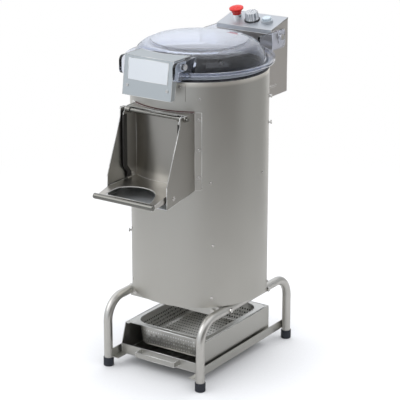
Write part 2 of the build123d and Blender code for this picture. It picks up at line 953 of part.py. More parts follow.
def chute_roof():
    """The plate over the chute, cut to follow the drum."""
    inside = chute_half_width - sheet
    z = (chute_top_z - sheet, chute_top_z)
    plate = block((-inside, inside), (chute_roof_front_y, chute_root_y), z)
    return plate - upright(drum_radius + chute_roof_gap, (z[0] - cut, z[1] + cut))


def chute_floor():
    """The sloping plate that the peeled potatoes slide out over."""
    inside = chute_half_width - sheet
    outline = (
        (chute_root_y, chute_root_z),
        (chute_lip_y, chute_lip_low_z),
        (chute_lip_y, chute_lip_low_z + sheet),
        (chute_root_y, chute_root_z + sheet),
    )
    plate = side_cut(outline, (-inside, inside))
    return plate - upright(drum_radius, (chute_lip_low_z - cut, chute_root_z + 2 * cut))


def door_rod():
    """The rod across the chute, with end nuts, and collars on both sides of the door's ears."""
    half = chute_half_width + rod_overhang + rod_nut_height
    rod = rod_x(rod_radius, (-half, half), rod_y, rod_z)
    nut = hexagon_x(rod_nut_radius, (chute_half_width, chute_half_width + rod_nut_height),
                    rod_y, rod_z)
    collar = rod_x(rod_collar_radius,
                   (door_half_width + seat_gap, chute_half_width - sheet), rod_y, rod_z)
    bush_end = door_half_width - sheet - seat_gap
    bush = rod_x(rod_collar_radius, (bush_end - rod_bush_length, bush_end), rod_y, rod_z)
    for piece in both_sides(nut) + both_sides(collar) + both_sides(bush):
        rod += piece
    return rod


# Door


def door_flange_plate():
    """The right side flange of the door with its notch, as a flat plate."""
    outline = (
        (chute_root_y, door_top_z),
        (rod_y, door_top_z),
        (rod_y - door_ear_radius, rod_z),
        (door_front_y, rod_z - door_ear_radius),
        (door_front_y, notch_top_z),
        (door_front_y + notch_depth, notch_z),
        (door_front_y + notch_depth, tray_z - sheet),
        (chute_root_y, tray_z - sheet),
    )
    return side_cut(outline, (door_half_width - sheet, door_half_width))


def door_flange():
    """The flange with its ear round the rod and a bolt head on its inner face."""
    face = door_half_width - sheet
    flange = door_flange_plate()
    flange += rod_x(door_ear_radius, (face, door_half_width), rod_y, rod_z)
    flange -= rod_x(rod_radius + fit_gap, (0, 2 * door_half_width), rod_y, rod_z)
    bolt = rod_x(door_bolt_radius, (face - door_bolt_height, face),
                 door_front_y + door_bolt_inset, tray_z + door_bolt_rise)
    return flange + bolt


def tray_flange():
    """The flange that is turned down along the right side of the tray."""
    outline = (
        (tray_flange_start_y, tray_z),
        (tray_bend_y, tray_z),
        (bar_y, tray_end_z),
        (bar_y, tray_end_z - tray_flange_tip),
        (tray_bend_y, tray_z - tray_flange_depth),
        (tray_flange_start_y, tray_z - sheet),
    )
    return side_cut(outline, (tray_half_width - sheet, tray_half_width))


def door_panel():
    """The door: a curved panel, side flanges and the tray with its hand hole."""
    height = (tray_z - sheet, door_top_z)
    panel = sleeve(door_inner_radius + sheet, door_inner_radius, height)
    panel &= block((-door_half_width, door_half_width), (-2 * drum_radius, 0), height)
    outline = (
        (chute_root_y, tray_z),
        (tray_bend_y, tray_z),
        (bar_y, tray_end_z),
        (bar_y, tray_end_z - sheet),
        (tray_bend_y, tray_z - sheet),
        (chute_root_y, tray_z - sheet),
    )
    door = panel + side_cut(outline, (-tray_half_width, tray_half_width))
    for piece in both_sides(door_flange()) + both_sides(tray_flange()):
        door += piece
    door -= upright(door_inner_radius, (0, drum_top_z))
    door -= rod_x(bar_radius, (-bar_half_length, bar_half_length), bar_y, tray_end_z)
    half_hole = Ellipse(grip_half_width, grip_depth)
    half_hole &= Pos(0, grip_depth / 2) * Rectangle(2 * grip_half_width, grip_depth)
    place = Pos(0, bar_y + bar_radius + grip_front_gap, tray_z - 2 * tray_flange_depth)
    return door - extrude(place * half_hole, amount=4 * tray_flange_depth)


def door_bar():
    """The round bar along the front of the tray, that the door is lifted by."""
    bar = rod_x(bar_radius, (-bar_half_length, bar_half_length), bar_y, tray_end_z)
    ends = bar.edges().filter_by(GeomType.CIRCLE)
    return fillet(ends, bar_end_round)


def door_gasket():
    """The rubber seal behind the door, round the window."""
    ring = sleeve(door_inner_radius - seat_gap, drum_radius + seat_gap, (0, drum_top_z))
    return ring & window_prism_ring()


def window_prism_ring():
    """The space between the window's outline and a larger one."""
    width = 2 * (window_half_width + gasket_border)
    height = window_top_z - window_low_z + 2 * gasket_border
    middle = (window_top_z + window_low_z) / 2
    outer = Pos(0, middle) * RectangleRounded(width, height, window_corner)
    inner = Pos(0, middle) * RectangleRounded(
        2 * window_half_width, window_top_z - window_low_z, window_corner)
    ring = Plane.XZ * (outer - inner)
    return extrude(ring, amount=2 * drum_radius, dir=(0, -1, 0))


def door_trim():
    """Rubber edging down the front edges of the door's flanges and round their notches."""
    edge = (
        (door_front_y, rod_z - door_ear_radius - trim_gap),
        (door_front_y, notch_top_z),
        (door_front_y + notch_depth, notch_z),
        (door_front_y + notch_depth, tray_z + trim_gap),
    )
    outer = [(y - trim_wall, z) for y, z in edge]
    inner = [(y + trim_depth, z) for y, z in reversed(edge)]
    x = (door_half_width - sheet - trim_wall, door_half_width + trim_wall)
    strip = side_cut(outer + inner, x)
    return both_sides(strip - door_flange_plate())


# Lid


def dome_outline(inset, low_z):
    """The dome's outline down to a height, moved inwards by the inset."""
    top = (0, lid_top_z - inset)
    step_high = (lid_step_radius, lid_step_z - inset)
    step_low = (lid_step_radius + lid_step_run, lid_step_z - lid_step_drop - inset)
    shoulder = (lid_shoulder_radius - inset, lid_shoulder_z)
    foot = (lid_foot_radius - inset, low_z)
    crown = TangentArc(top, step_high, tangent=(1, 0))
    step = Line(step_high, step_low)
    side = bulge(step_low, shoulder, lid_shoulder_rise)
    skirt = Line(shoulder, foot)
    closing = chain(foot, (0, low_z), top)
    return [crown, step, side, skirt, *closing]


def lid_ear():
    """The right front lug, that carries the latch plate."""
    width = ear_root_y - ear_front_y
    height = ear_top_z - ear_low_z
    middle = Pos((ear_root_y + ear_front_y) / 2, (ear_top_z + ear_low_z) / 2)
    face = middle * Rectangle(width, height)
    front = face.vertices().group_by(Axis.X)[0]
    face = Plane.YZ.offset(ear_inner_x) * fillet(front, ear_round)
    return extrude(face, amount=ear_thickness, dir=(1, 0, 0))


def lid_arm():
    """The right rear arm, that reaches back to the hinge bolt."""
    width = lid_pivot_y + arm_end - arm_root_y
    height = arm_top_z - arm_low_z
    middle = Pos(arm_root_y + width / 2, arm_low_z + height / 2)
    face = middle * Rectangle(width, height)
    rear = face.vertices().group_by(Axis.X)[-1]
    face = Plane.YZ.offset(arm_inner_x) * fillet(rear, arm_round)
    arm = extrude(face, amount=arm_thickness, dir=(1, 0, 0))
    hole = (0, 2 * arm_inner_x)
    return arm - rod_x(lid_bolt_radius + fit_gap, hole, lid_pivot_y, lid_pivot_z)


def lid_dome():
    """The clear moulded lid: dome, rim with its bead, front lugs and rear arms."""
    lid = turned(*dome_outline(0, lid_rim_z))
    lid += upright(lid_rim_radius, (lid_rim_z, lid_rim_z + lid_rim_thickness))
    bead = (lid_rim_z, lid_rim_z + lid_bead_height)
    lid += sleeve(lid_rim_radius, lid_rim_radius - lid_bead_width, bead)
    for piece in both_sides(lid_ear()) + both_sides(lid_arm()):
        lid += piece
    lid -= turned(*dome_outline(lid_wall, lid_rim_z - cut))
    lid -= upright(lid_gasket_outer + seat_gap, (drum_top_z, lid_rim_z))
    bolt = (-2 * ear_inner_x, 2 * ear_inner_x)
    return lid - rod_x(latch_bolt_radius, bolt, latch_pivot_y, latch_pivot_z)


def lid_gasket():
    """The rubber ring under the rim, that rests on the drum."""
    return sleeve(lid_gasket_outer, lid_gasket_inner, (drum_top_z + seat_gap, lid_rim_z))


def latch_bolts():
    """The bolts through the lugs, with heads, nuts and spacers, that the plate swings on."""
    outer = ear_inner_x + ear_thickness
    inner = latch_half_width - sheet
    at = (latch_pivot_y, latch_pivot_z)
    bolt = rod_x(latch_bolt_radius, (inner - latch_head_height, outer), *at)
    bolt += rod_x(latch_head_radius, (outer, outer + latch_head_height), *at)
    bolt += rod_x(latch_head_radius, (latch_half_width + seat_gap, ear_inner_x), *at)
    nut = (inner - seat_gap - latch_head_height, inner - seat_gap)
    bolt += hexagon_x(latch_head_radius, nut, *at)
    return both_sides(bolt)


def lid_hinge_bolts():
    """The bolts in the control box that the lid's arms turn on."""
    outer = arm_inner_x + arm_thickness + seat_gap
    at = (lid_pivot_y, lid_pivot_z)
    bolt = rod_x(lid_bolt_radius, (box_half_width - sheet, outer), *at)
    plate = box_half_width + hinge_plate_thickness
    bolt += rod_x(lid_bolt_head, (plate, arm_inner_x - seat_gap), *at)
    bolt += hexagon_x(lid_bolt_head, (outer, outer + lid_bolt_head_height), *at)
    return both_sides(bolt)


# Latch plate


def latch_plate():
    """The folded front plate: a leaning face, a shelf over the lid and two cheeks."""
    inner = latch_half_width - sheet
    face = side_cut((
        (latch_top_y, latch_top_z),
        (latch_low_y, latch_low_z),
        (latch_low_y + sheet, latch_low_z),
        (latch_top_y + sheet, latch_top_z),
    ), (-latch_half_width, latch_half_width))
    cheek = side_cut((
        (latch_top_y, latch_top_z),
        (latch_low_y, latch_low_z),
        (latch_low_y + latch_flange, latch_low_z),
        (latch_top_y + latch_flange, latch_cheek_low_z),
        (latch_cheek_y, latch_cheek_low_z),
        (latch_cheek_y, latch_top_z),
    ), (inner, latch_half_width))
    shelf = block(
        (-latch_half_width, latch_half_width),
        (latch_top_y, chute_root_y),
        (latch_top_z - sheet, latch_top_z),
    )
    shelf -= upright(latch_shelf_radius, (latch_low_z, latch_top_z + cut))
    plate = face + shelf
    for piece in both_sides(cheek):
        plate += piece
    hole = (-2 * latch_half_width, 2 * latch_half_width)
    return plate - rod_x(latch_bolt_radius + fit_gap, hole, latch_pivot_y, latch_pivot_z)


def nameplate_blank():
    """A thin bare plate on the latch plate's face."""
    drop = nameplate_margin + nameplate_height / 2
    slab = Box(2 * nameplate_half_width, nameplate_height, nameplate_thickness, align=FROM_BASE)
    return latch_plane * Pos(0, -drop, 0) * slab


def latch_screws():
    """Two screws low on the latch plate's face."""
    plane = latch_plane * Pos(latch_screw_x, -latch_screw_drop, 0)
    head = Cylinder(screw_radius, screw_head, align=FROM_BASE)
    return both_sides(plane * head)


def latch_magnet():
    """The block behind the latch plate that faces the sensor on the drum."""
    back_y = -drum_radius - sensor_depth - 2 * seat_gap
    x = (-magnet_half_width, magnet_half_width)
    z = (magnet_low_z, magnet_low_z + magnet_height)
    solid = block(x, (latch_low_y, back_y), z)
    behind = side_cut((
        (latch_top_y + sheet, latch_top_z),
        (latch_low_y + sheet, latch_low_z),
        (0, latch_low_z),
        (0, latch_top_z),
    ), (-latch_half_width, latch_half_width))
    return solid & behind


def catch_bracket():
    """The curved bracket on the drum, that the lid sensor is mounted on."""
    z = (catch_low_z, catch_top_z)
    ring = sleeve(drum_radius + catch_thickness, drum_radius, z)
    return ring & block((-catch_half_width, catch_half_width), (-2 * drum_radius, 0), z)


def lid_sensor():
    """The magnetic safety sensor on its bracket."""
    z = (sensor_low_z, sensor_low_z + sensor_height)
    x = (-sensor_half_width, sensor_half_width)
    body = block(x, (-drum_radius - sensor_depth, 0), z)
    return body - upright(drum_radius + catch_thickness, (z[0] - cut, z[1] + cut))


# Control box


def control_box():
    """The folded housing behind the drum, open above and behind."""
    back = box_back_y - sheet
    front = box_front_y + sheet
    lid_drop = sheet * panel_length / panel_run
    outline = (
        (box_neck_y, box_low_z),
        (back, box_low_z),
        (back, panel_height(back) - lid_drop),
        (front, panel_height(front) - lid_drop),
        (front, box_neck_z),
        (box_neck_y, box_neck_z),
    )
    inside = (
        (0, box_low_z + sheet),
        (2 * box_back_y, box_low_z + sheet),
        (2 * box_back_y, 2 * box_back_z),
        (front + sheet, 2 * box_back_z),
        (front + sheet, box_neck_z - sheet),
        (0, box_neck_z - sheet),
    )
    inner = box_half_width - sheet
    body = side_cut(outline, (-box_half_width, box_half_width)) - side_cut(inside, (-inner, inner))
    hood = rod_y_way(hood_height / 2, box_half_width, (hood_front_y, hood_back_y), hood_low_z)
    hood &= block((box_half_width, box_half_width + hood_depth), (0, box_back_y),
                  (hood_low_z, hood_low_z + hood_height))
    hinge_plate = block(
        (box_half_width - sheet, box_half_width + hinge_plate_thickness),
        (lid_pivot_y - hinge_plate_front, lid_pivot_y + hinge_plate_back),
        (lid_pivot_z - hinge_plate_low, lid_pivot_z + hinge_plate_high),
    )
    for piece in both_sides(hood) + both_sides(hinge_plate):
        body += piece
    body -= upright(drum_radius, (box_low_z - cut, drum_top_z))
    body -= rod_x(lid_bolt_radius, (-2 * box_half_width, 2 * box_half_width),
                  lid_pivot_y, lid_pivot_z)
    low = (box_low_z - cut, box_low_z + cut)
    body -= upright(valve_pipe_radius + fit_gap, low, (valve_x, spigot_y))
    return body - upright(gland_radius / 2, low, (gland_x, gland_y))


def control_places():
    """Places of the three controls on the panel, from left to right."""
    return [Pos(step * control_pitch, panel_length / 2, 0) for step in (-1, 0, 1)]


def control_panel():
    """The sloping panel with its front lip and three holes."""
    panel = Pos(-box_half_width, 0, -sheet) * Box(
        2 * box_half_width, panel_length, sheet, align=FROM_CORNER)
    radii = (stop_stem_radius + seat_gap, timer_shaft_radius + seat_gap, start_hole_radius)
    for place, radius in zip(control_places(), radii):
        panel -= place * Pos(0, 0, -cut) * Cylinder(radius, 2 * cut, align=FROM_BASE)
    lip = block(
        (-box_half_width, box_half_width),
        (box_front_y, box_front_y + sheet),
        (box_front_z - panel_lip, box_front_z),
    )
    return panel_plane * panel + lip


def box_cover():
    """The flat cover on the back of the control box."""
    low_drop = sheet * panel_length / panel_run
    outline = (
        (box_back_y - sheet, box_low_z),
        (box_back_y, box_low_z),
        (box_back_y, panel_height(box_back_y) - low_drop),
        (box_back_y - sheet, panel_height(box_back_y - sheet) - low_drop),
    )
    return side_cut(outline, (-box_half_width, box_half_width))


def cover_screws():
    """Four screws in the back cover."""
    x = box_half_width - box_screw_inset
    heads = []
    for z in (box_low_z + box_screw_rise, box_front_z - box_screw_rise):
        plane = Plane(origin=(x, box_back_y, z), x_dir=(-1, 0, 0), z_dir=(0, 1, 0))
        heads += both_sides(screw_at(plane))
    return heads


def stop_collar():
    """The bright grooved collar that the stop button slides in, with a well for its root."""
    ring = Cylinder(stop_collar_radius, stop_collar_height, align=FROM_BASE)
    groove = Pos(stop_collar_radius, 0, 0) * Cylinder(
        stop_groove_radius, stop_collar_height, align=FROM_BASE)
    for index in range(stop_groove_count):
        ring -= Rot(0, 0, index * 360 / stop_groove_count) * groove
    ring -= Pos(0, 0, stop_collar_height - stop_collar_well) * Cylinder(
        stop_collar_radius - stop_collar_wall, stop_collar_height, align=FROM_BASE)
    bore = Cylinder(stop_stem_radius + fit_gap, 2 * stop_collar_height)
    return panel_plane * control_places()[0] * (ring - bore)


def stop_stem():
    """The stem that slides in the collar when the button is pushed."""
    low = stop_stem_top - stop_stem_length
    return panel_plane * control_places()[0] * Pos(0, 0, low) * Cylinder(
        stop_stem_radius, stop_stem_length, align=FROM_BASE)


def stop_cap():
    """The mushroom head, that also turns on the stem to release it."""
    brim = stop_cap_edge + stop_cap_lip
    root_top = stop_cap_low + stop_root_height
    crown = TangentArc((0, stop_cap_top), (stop_cap_radius, brim), tangent=(1, 0))
    rest = chain(
        (stop_cap_radius, brim),
        (stop_cap_radius, stop_cap_edge),
        (stop_cap_neck_radius, stop_cap_edge),
        (stop_cap_root_radius, root_top),
        (stop_root_radius, root_top),
        (stop_root_radius, stop_cap_low),
        (0, stop_cap_low),
        (0, stop_cap_top),
    )
    head = turned(crown, *rest)
    socket = Cylinder(stop_stem_radius + fit_gap, stop_stem_top + fit_gap, align=FROM_BASE)
    return panel_plane * control_places()[0] * (head - socket)


def timer_ring():
    """The black ring round the timer's shaft."""
    ring = Cylinder(timer_ring_radius, timer_ring_height, align=FROM_BASE)
    ring -= Cylinder(timer_shaft_radius + fit_gap, 2 * cut)
    return panel_plane * control_places()[1] * ring


def timer_knob():
    """The ribbed timer knob on its shaft, with a raised pointer on top."""
    low = timer_ring_height + seat_gap
    height = timer_knob_height - low
    knob = Pos(0, 0, low) * Cone(timer_knob_radius, timer_top_radius, height, align=FROM_BASE)
    groove = Pos(timer_knob_radius, 0, low) * Cylinder(
        timer_rib_radius, 2 * height, align=FROM_BASE)
    for index in range(timer_rib_count):
        knob -= Rot(0, 0, index * 360 / timer_rib_count) * groove
    pointer = Pos(-timer_pointer_width / 2, 0, timer_knob_height) * Box(
        timer_pointer_width, timer_top_radius, timer_pointer_rise, align=FROM_CORNER)
    shaft = Pos(0, 0, -timer_shaft_depth) * Cylinder(
        timer_shaft_radius, timer_shaft_depth + low, align=FROM_BASE)
    return panel_plane * control_places()[1] * (knob + pointer + shaft)


def start_ring():
    """The grey ring that guides the start button."""
    ring = Cylinder(start_ring_radius, start_ring_height, align=FROM_BASE)
    ring -= Cylinder(start_cap_radius + fit_gap, 2 * start_ring_height)
    return panel_plane * control_places()[2] * ring


def start_cap():
    """The start button's round cap."""
    cap = Pos(0, 0, -start_cap_depth) * Cylinder(
        start_cap_radius, start_cap_depth + start_cap_height, align=FROM_BASE)
    cap = fillet(cap.edges().group_by(Axis.Z)[-1], start_cap_round)
    return panel_plane * control_places()[2] * cap


def switch_bodies():
    """The switch blocks that hang under the panel."""
    places = control_places()
    stop_low = stop_stem_top - stop_stem_length - switch_travel_room
    start_low = -start_cap_depth - switch_travel_room
    bodies = []
    bodies.append(places[0] * open_switch(switch_half_width, stop_stem_radius, stop_low))
    bodies.append(places[1] * open_switch(timer_body_half_width, timer_shaft_radius,
                                          -timer_shaft_depth - switch_travel_room))
    bodies.append(places[2] * open_switch(switch_half_width, start_cap_radius, start_low))
    return [panel_plane * body for body in bodies]


def open_switch(half, stem, well_low):
    """A square switch body with a well for the moving stem."""
    body = Pos(-half, -half, -sheet - switch_depth) * Box(
        2 * half, 2 * half, switch_depth, align=FROM_CORNER)
    well = Pos(0, 0, well_low) * Cylinder(stem + 2 * seat_gap, -well_low, align=FROM_BASE)
    return body - well


# Water and electric connections


def water_valve():
    """The inlet valve in the box, its nozzle into the drum and its hose spigot below."""
    body = block(
        (valve_x - valve_half_width, valve_x + valve_half_width),
        (valve_front_y, valve_back_y),
        (valve_low_z, valve_top_z),
    )
    nozzle = (liner_inner, valve_front_y)
    body += rod_y_way(nozzle_radius, valve_x, nozzle, nozzle_z)
    body -= rod_y_way(nozzle_radius / 2, valve_x, (0, valve_back_y - cut), nozzle_z)
    low = box_low_z - spigot_length
    body += upright(spigot_radius, (low, box_low_z), (valve_x, spigot_y))
    body += upright(valve_pipe_radius, (box_low_z, valve_low_z), (valve_x, spigot_y))
    return body - upright(spigot_bore, (low - cut, nozzle_z), (valve_x, spigot_y))


def cable_gland():
    """The gland in the box's floor that a supply cable would pass through."""
    low = box_low_z - gland_length
    at = (gland_x, gland_y)
    face = Pos(gland_x, gland_y, box_low_z - gland_nut_height) * RegularPolygon(gland_radius, 6)
    gland = extrude(face, amount=gland_nut_height)
    gland += upright(gland_radius / 2 + sheet, (low, box_low_z), at)
    gland += upright(gland_radius / 2, (box_low_z, box_low_z + cut), at)
    return gland - upright(gland_bore, (low - cut, box_low_z + 2 * cut), at)


# Filter drawer and pan


def filter_drawer():
    """The folded drawer: floor, low front, tall sides with ledges and a back."""
    half = drawer_half_width
    low = drawer_floor_z
    floor = block((-half, half), (drawer_front_y, drawer_back_y), (low, low + sheet))
    front = block((-half, half), (drawer_front_y, drawer_front_y + sheet), (low, drawer_front_z))
    back = block((-half, half), (drawer_back_y - sheet, drawer_back_y), (low, drawer_top_z))
    cheek = side_cut((
        (drawer_front_y, low),
        (drawer_front_y, drawer_front_z),
        (drawer_mouth_y, drawer_top_z),
        (drawer_back_y, drawer_top_z),
        (drawer_back_y, low),
    ), (half - sheet, half))
    ledge = block((half - drawer_ledge, half), (drawer_mouth_y, drawer_back_y),
                  (drawer_top_z - sheet, drawer_top_z))
    drawer = floor + front + back
    for piece in both_sides(cheek) + both_sides(ledge):
        drawer += piece
    hole = (drawer_back_y - cut, drawer_back_y + cut)
    return drawer - rod_y_way(outlet_radius - outlet_wall, 0, hole, outlet_z)


def drawer_strap():
    """The strap handle on the drawer's front."""
    y = (drawer_front_y - strap_reach, drawer_front_y)
    z = (strap_low_z, strap_low_z + strap_height)
    outer = block((-strap_half_width, strap_half_width), y, z)
    inner = strap_half_width - strap_wall
    return outer - block((-inner, inner), (y[0] + strap_wall, y[1] + cut), z)


def drawer_outlet():
    """The spigot behind the drawer, for a drain hose."""
    y = (drawer_back_y, drawer_back_y + outlet_length)
    pipe = rod_y_way(outlet_radius, 0, y, outlet_z)
    return pipe - rod_y_way(outlet_radius - outlet_wall, 0, (y[0] - cut, y[1] + cut), outlet_z)


def pan_bowl(inset):
    """The pan's bowl as a solid, made smaller all round by the inset."""
    width = pan_width - 2 * (pan_mouth_margin + inset)
    length = pan_length - 2 * (pan_mouth_margin + inset)
    low_z = pan_rim_z - pan_depth + inset
    mouth = RectangleRounded(width, length, pan_corner - inset)
    base = RectangleRounded(width - 2 * pan_taper, length - 2 * pan_taper,
                            pan_floor_corner - inset)
    bowl = loft([Pos(0, 0, low_z) * base, Pos(0, 0, pan_rim_z + pan_sheet) * mouth])
    floor_edges = bowl.edges().group_by(Axis.Z)[0]
    return fillet(floor_edges, pan_edge_round - inset)


def floor_hole_places():
    """Staggered places over the pan's floor."""
    width = pan_width - 2 * (pan_mouth_margin + pan_taper + hole_margin)
    length = pan_length - 2 * (pan_mouth_margin + pan_taper + hole_margin)
    rows = int(length / hole_pitch)
    columns = int(width / hole_pitch)
    corner_x = width / 2 - pan_floor_corner / 2
    corner_y = length / 2 - pan_floor_corner / 2
    places = []
    for row in range(rows + 1):
        shift = (row % 2) / 2
        y = (row - rows / 2) * hole_pitch
        for column in range(columns + 1 - row % 2):
            x = (column - columns / 2 + shift) * hole_pitch
            if abs(x) > corner_x and abs(y) > corner_y:
                continue
            places.append((x, y))
    return places


def filter_pan():
    """The perforated pan, with its rim on the drawer's ledges."""
    rim = Pos(0, 0, pan_rim_z) * extrude(
        RectangleRounded(pan_width, pan_length, pan_rim_corner), amount=pan_sheet)
    pan = rim + pan_bowl(0)
    pan -= pan_bowl(pan_sheet)
    pan -= Pos(0, 0, pan_rim_z - fit_gap) * extrude(RectangleRounded(
        pan_width - 2 * (pan_mouth_margin + pan_sheet),
        pan_length - 2 * (pan_mouth_margin + pan_sheet),
        pan_corner - pan_sheet), amount=2 * pan_sheet)
    low_z = pan_rim_z - pan_depth
    drill = extrude(RegularPolygon(hole_radius, 6), amount=3 * pan_sheet)
    drills = [Pos(x, y, low_z - pan_sheet) * drill for x, y in floor_hole_places()]
    drills += wall_drills()
    pan -= drills
    return Pos(0, pan_middle_y, 0) * pan


def wall_drills():
    """Drills through the pan's walls: two staggered rows on each."""
    drills = []
    low_z = pan_rim_z - pan_depth + wall_hole_rise
    for row in (0, 1):
        z = low_z + row * wall_hole_step
        span = pan_width - 2 * (pan_mouth_margin + pan_corner)
        drills += drill_row(span, row, z, pan_length, 0)
        span = pan_length - 2 * (pan_mouth_margin + pan_corner)
        drills += drill_row(span, row, z, pan_width, 90)
    return drills


def drill_row(span, row, z, across, turn):
    """One row of drills right across the pan, evenly spaced over the span."""
    count = int(span / wall_hole_pitch)
    drills = []
    for index in range(count + 1 - row):
        x = (index - (count - row) / 2) * wall_hole_pitch
        drill = hexagon_y(hole_radius, x, (-across, across), z)
        drills.append(Rot(0, 0, turn) * drill)
    return drills


def write(name, shape):
    """Move a piece to the machine's own origin and write it."""
    solids = []
    for item in shape if isinstance(shape, list) else [shape]:
        solids += item.solids()
    moved = [Pos(0, -origin_y, 0) * solid for solid in solids]
    whole = moved[0] if len(moved) == 1 else Compound(children=moved)
    export_step(whole, os.path.join("parts", name + ".step"))


os.makedirs("parts", exist_ok=True)

write("leg_tube_left", leg_tube(-1))
write("leg_tube_right", leg_tube(1))
write("rubber_feet", [rubber_foot(x, y)
                       for x in (-stand_half_width, stand_half_width)
                       for y in (front_leg_y, rear_leg_y)])
write("cross_member_front", cross_member(-1))
write("cross_member_rear", cross_member(1))
write("drawer_rail_left", drawer_rail(-1))
write("drawer_rail_right", drawer_rail(1))
write("frame_bolts", frame_bolts())
write("drum_shell", drum_shell())
write("drum_base", drum_base())
write("chamber_floor", chamber_floor())
write("abrasive_liner", abrasive_liner())
write("drain_pipe", drain_pipe())
write("drum_screws", drum_screws())
write("peeling_disc", peeling_disc())
write("disc_shaft", disc_shaft())
write("disc_cap", disc_cap())
write("bearing_housing", bearing_housing())
write("disc_pulley", grooved_pulley(disc_pulley_radius, shaft_radius, (0, 0)))
write("motor_pulley", grooved_pulley(motor_pulley_radius, motor_shaft_radius, (0, motor_y)))
write("drive_belt", drive_belt())
write("motor_plate", motor_plate())
write("motor_body", motor())
write("motor_rotor", motor_rotor())
write("chute_side_right", chute_side())
write("chute_side_left", mirror(chute_side(), about=Plane.YZ))
write("chute_roof", chute_roof())
write("chute_floor", chute_floor())
write("door_rod", door_rod())
write("door_panel", door_panel())
write("door_bar", door_bar())
write("door_gasket", door_gasket())
write("door_trim", door_trim())
write("lid_dome", lid_dome())
write("lid_gasket", lid_gasket())
write("latch_bolts", latch_bolts())
write("lid_hinge_bolts", lid_hinge_bolts())
write("latch_plate", latch_plate())
write("nameplate_blank", nameplate_blank())
write("latch_screws", latch_screws())
write("latch_magnet", latch_magnet())
write("catch_bracket", catch_bracket())
write("lid_sensor", lid_sensor())
write("control_box", control_box())
write("control_panel", control_panel())
write("box_cover", box_cover())
write("stop_collar", stop_collar())
write("stop_stem", stop_stem())
write("stop_cap", stop_cap())
write("timer_ring", timer_ring())
write("timer_knob", timer_knob())
write("start_ring", start_ring())
write("start_cap", start_cap())
write("switch_bodies", switch_bodies())
write("water_valve", water_valve())
write("cable_gland", cable_gland())
write("filter_drawer", filter_drawer())
write("drawer_strap", drawer_strap())
write("drawer_outlet", drawer_outlet())
write("filter_pan", filter_pan())
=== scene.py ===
# %% [markdown]
# # A potato peeling machine
# The machine is already built as an exact model: a steel drum on a tube stand, a clear lid, a
# chute with a flap door, a control box and a filter drawer. This lesson dresses it for a
# photograph: it makes each finish from what the real material is, adds the fine work that the
# exact model leaves out, and sets up a small studio.
# %% The exact model
import json
import math
import bmesh
import bpy
import numpy as np
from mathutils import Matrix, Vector

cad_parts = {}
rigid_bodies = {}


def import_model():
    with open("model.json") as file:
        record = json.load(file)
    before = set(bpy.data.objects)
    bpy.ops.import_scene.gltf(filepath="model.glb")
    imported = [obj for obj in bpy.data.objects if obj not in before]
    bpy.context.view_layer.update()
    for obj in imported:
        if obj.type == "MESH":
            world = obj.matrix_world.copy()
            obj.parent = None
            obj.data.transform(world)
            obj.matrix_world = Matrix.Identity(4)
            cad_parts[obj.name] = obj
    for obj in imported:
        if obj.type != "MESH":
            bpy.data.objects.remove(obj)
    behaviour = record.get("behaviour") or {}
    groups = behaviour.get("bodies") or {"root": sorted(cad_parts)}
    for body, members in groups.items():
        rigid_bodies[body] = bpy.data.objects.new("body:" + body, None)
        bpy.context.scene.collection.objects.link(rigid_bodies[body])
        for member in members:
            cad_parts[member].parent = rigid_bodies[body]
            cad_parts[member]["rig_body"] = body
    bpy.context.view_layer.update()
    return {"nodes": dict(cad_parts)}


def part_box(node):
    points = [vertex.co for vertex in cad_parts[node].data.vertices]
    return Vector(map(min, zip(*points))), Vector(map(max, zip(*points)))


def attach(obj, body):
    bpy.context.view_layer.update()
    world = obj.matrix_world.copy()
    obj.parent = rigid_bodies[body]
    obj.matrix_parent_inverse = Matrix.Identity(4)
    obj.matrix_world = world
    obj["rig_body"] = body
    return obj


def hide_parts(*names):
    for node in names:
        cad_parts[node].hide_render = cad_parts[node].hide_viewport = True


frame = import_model()
nodes = frame["nodes"]
print("pieces in the exact model:", len(nodes))

# %% [markdown]
# ## Measures
# Everything is in metres, with the front towards -Y. The drum's upright axis stands a little
# behind the origin, which lies under the middle of the whole machine. Its place is read from the
# drum itself, and other places from the pieces they belong to, so the dressing follows the
# exact model.
# %% Measures taken from the model
MM = 0.001
shell_low, shell_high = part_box("drum_shell")
pan_low, pan_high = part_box("filter_pan")
roof_low, roof_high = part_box("chute_roof")
tray_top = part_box("door_bar")[1].z
AXIS_Y = (shell_low.y + shell_high.y) / 2
DRUM_R = (shell_high.x - shell_low.x) / 2
print("drum axis at y =", round(AXIS_Y, 4), "radius", round(DRUM_R, 4))

# %% [markdown]
# ## Camera
# A catalogue photograph of a tall machine is taken from a few metres away with a long lens, so
# that upright edges stay nearly parallel. The camera stands to the right of the front and looks
# down about 18 degrees. The small shift puts the machine where the photograph has it in its
# frame.
# %% Camera
CAMERA_AZIMUTH = math.radians(34.1)
CAMERA_ELEVATION = math.radians(18.2)
CAMERA_DISTANCE = 4.7033
AIM_HEIGHT = 0.48125
SENSOR_MM = 36
LENS_MM = 150.37
target = Vector((0, AXIS_Y, AIM_HEIGHT))
outward = Vector((
    math.sin(CAMERA_AZIMUTH) * math.cos(CAMERA_ELEVATION),
    -math.cos(CAMERA_AZIMUTH) * math.cos(CAMERA_ELEVATION),
    math.sin(CAMERA_ELEVATION),
))
camera_data = bpy.data.cameras.new("camera")
camera_data.sensor_width = SENSOR_MM
camera_data.lens = LENS_MM
camera_data.shift_x = 0.001
camera_data.shift_y = -0.0178
camera = bpy.data.objects.new("camera", camera_data)
camera.location = target + outward * CAMERA_DISTANCE
camera.rotation_euler = (-outward).to_track_quat("-Z", "Y").to_euler()
bpy.context.scene.collection.objects.link(camera)
bpy.context.scene.camera = camera
print("camera at", [round(v, 3) for v in camera.location])

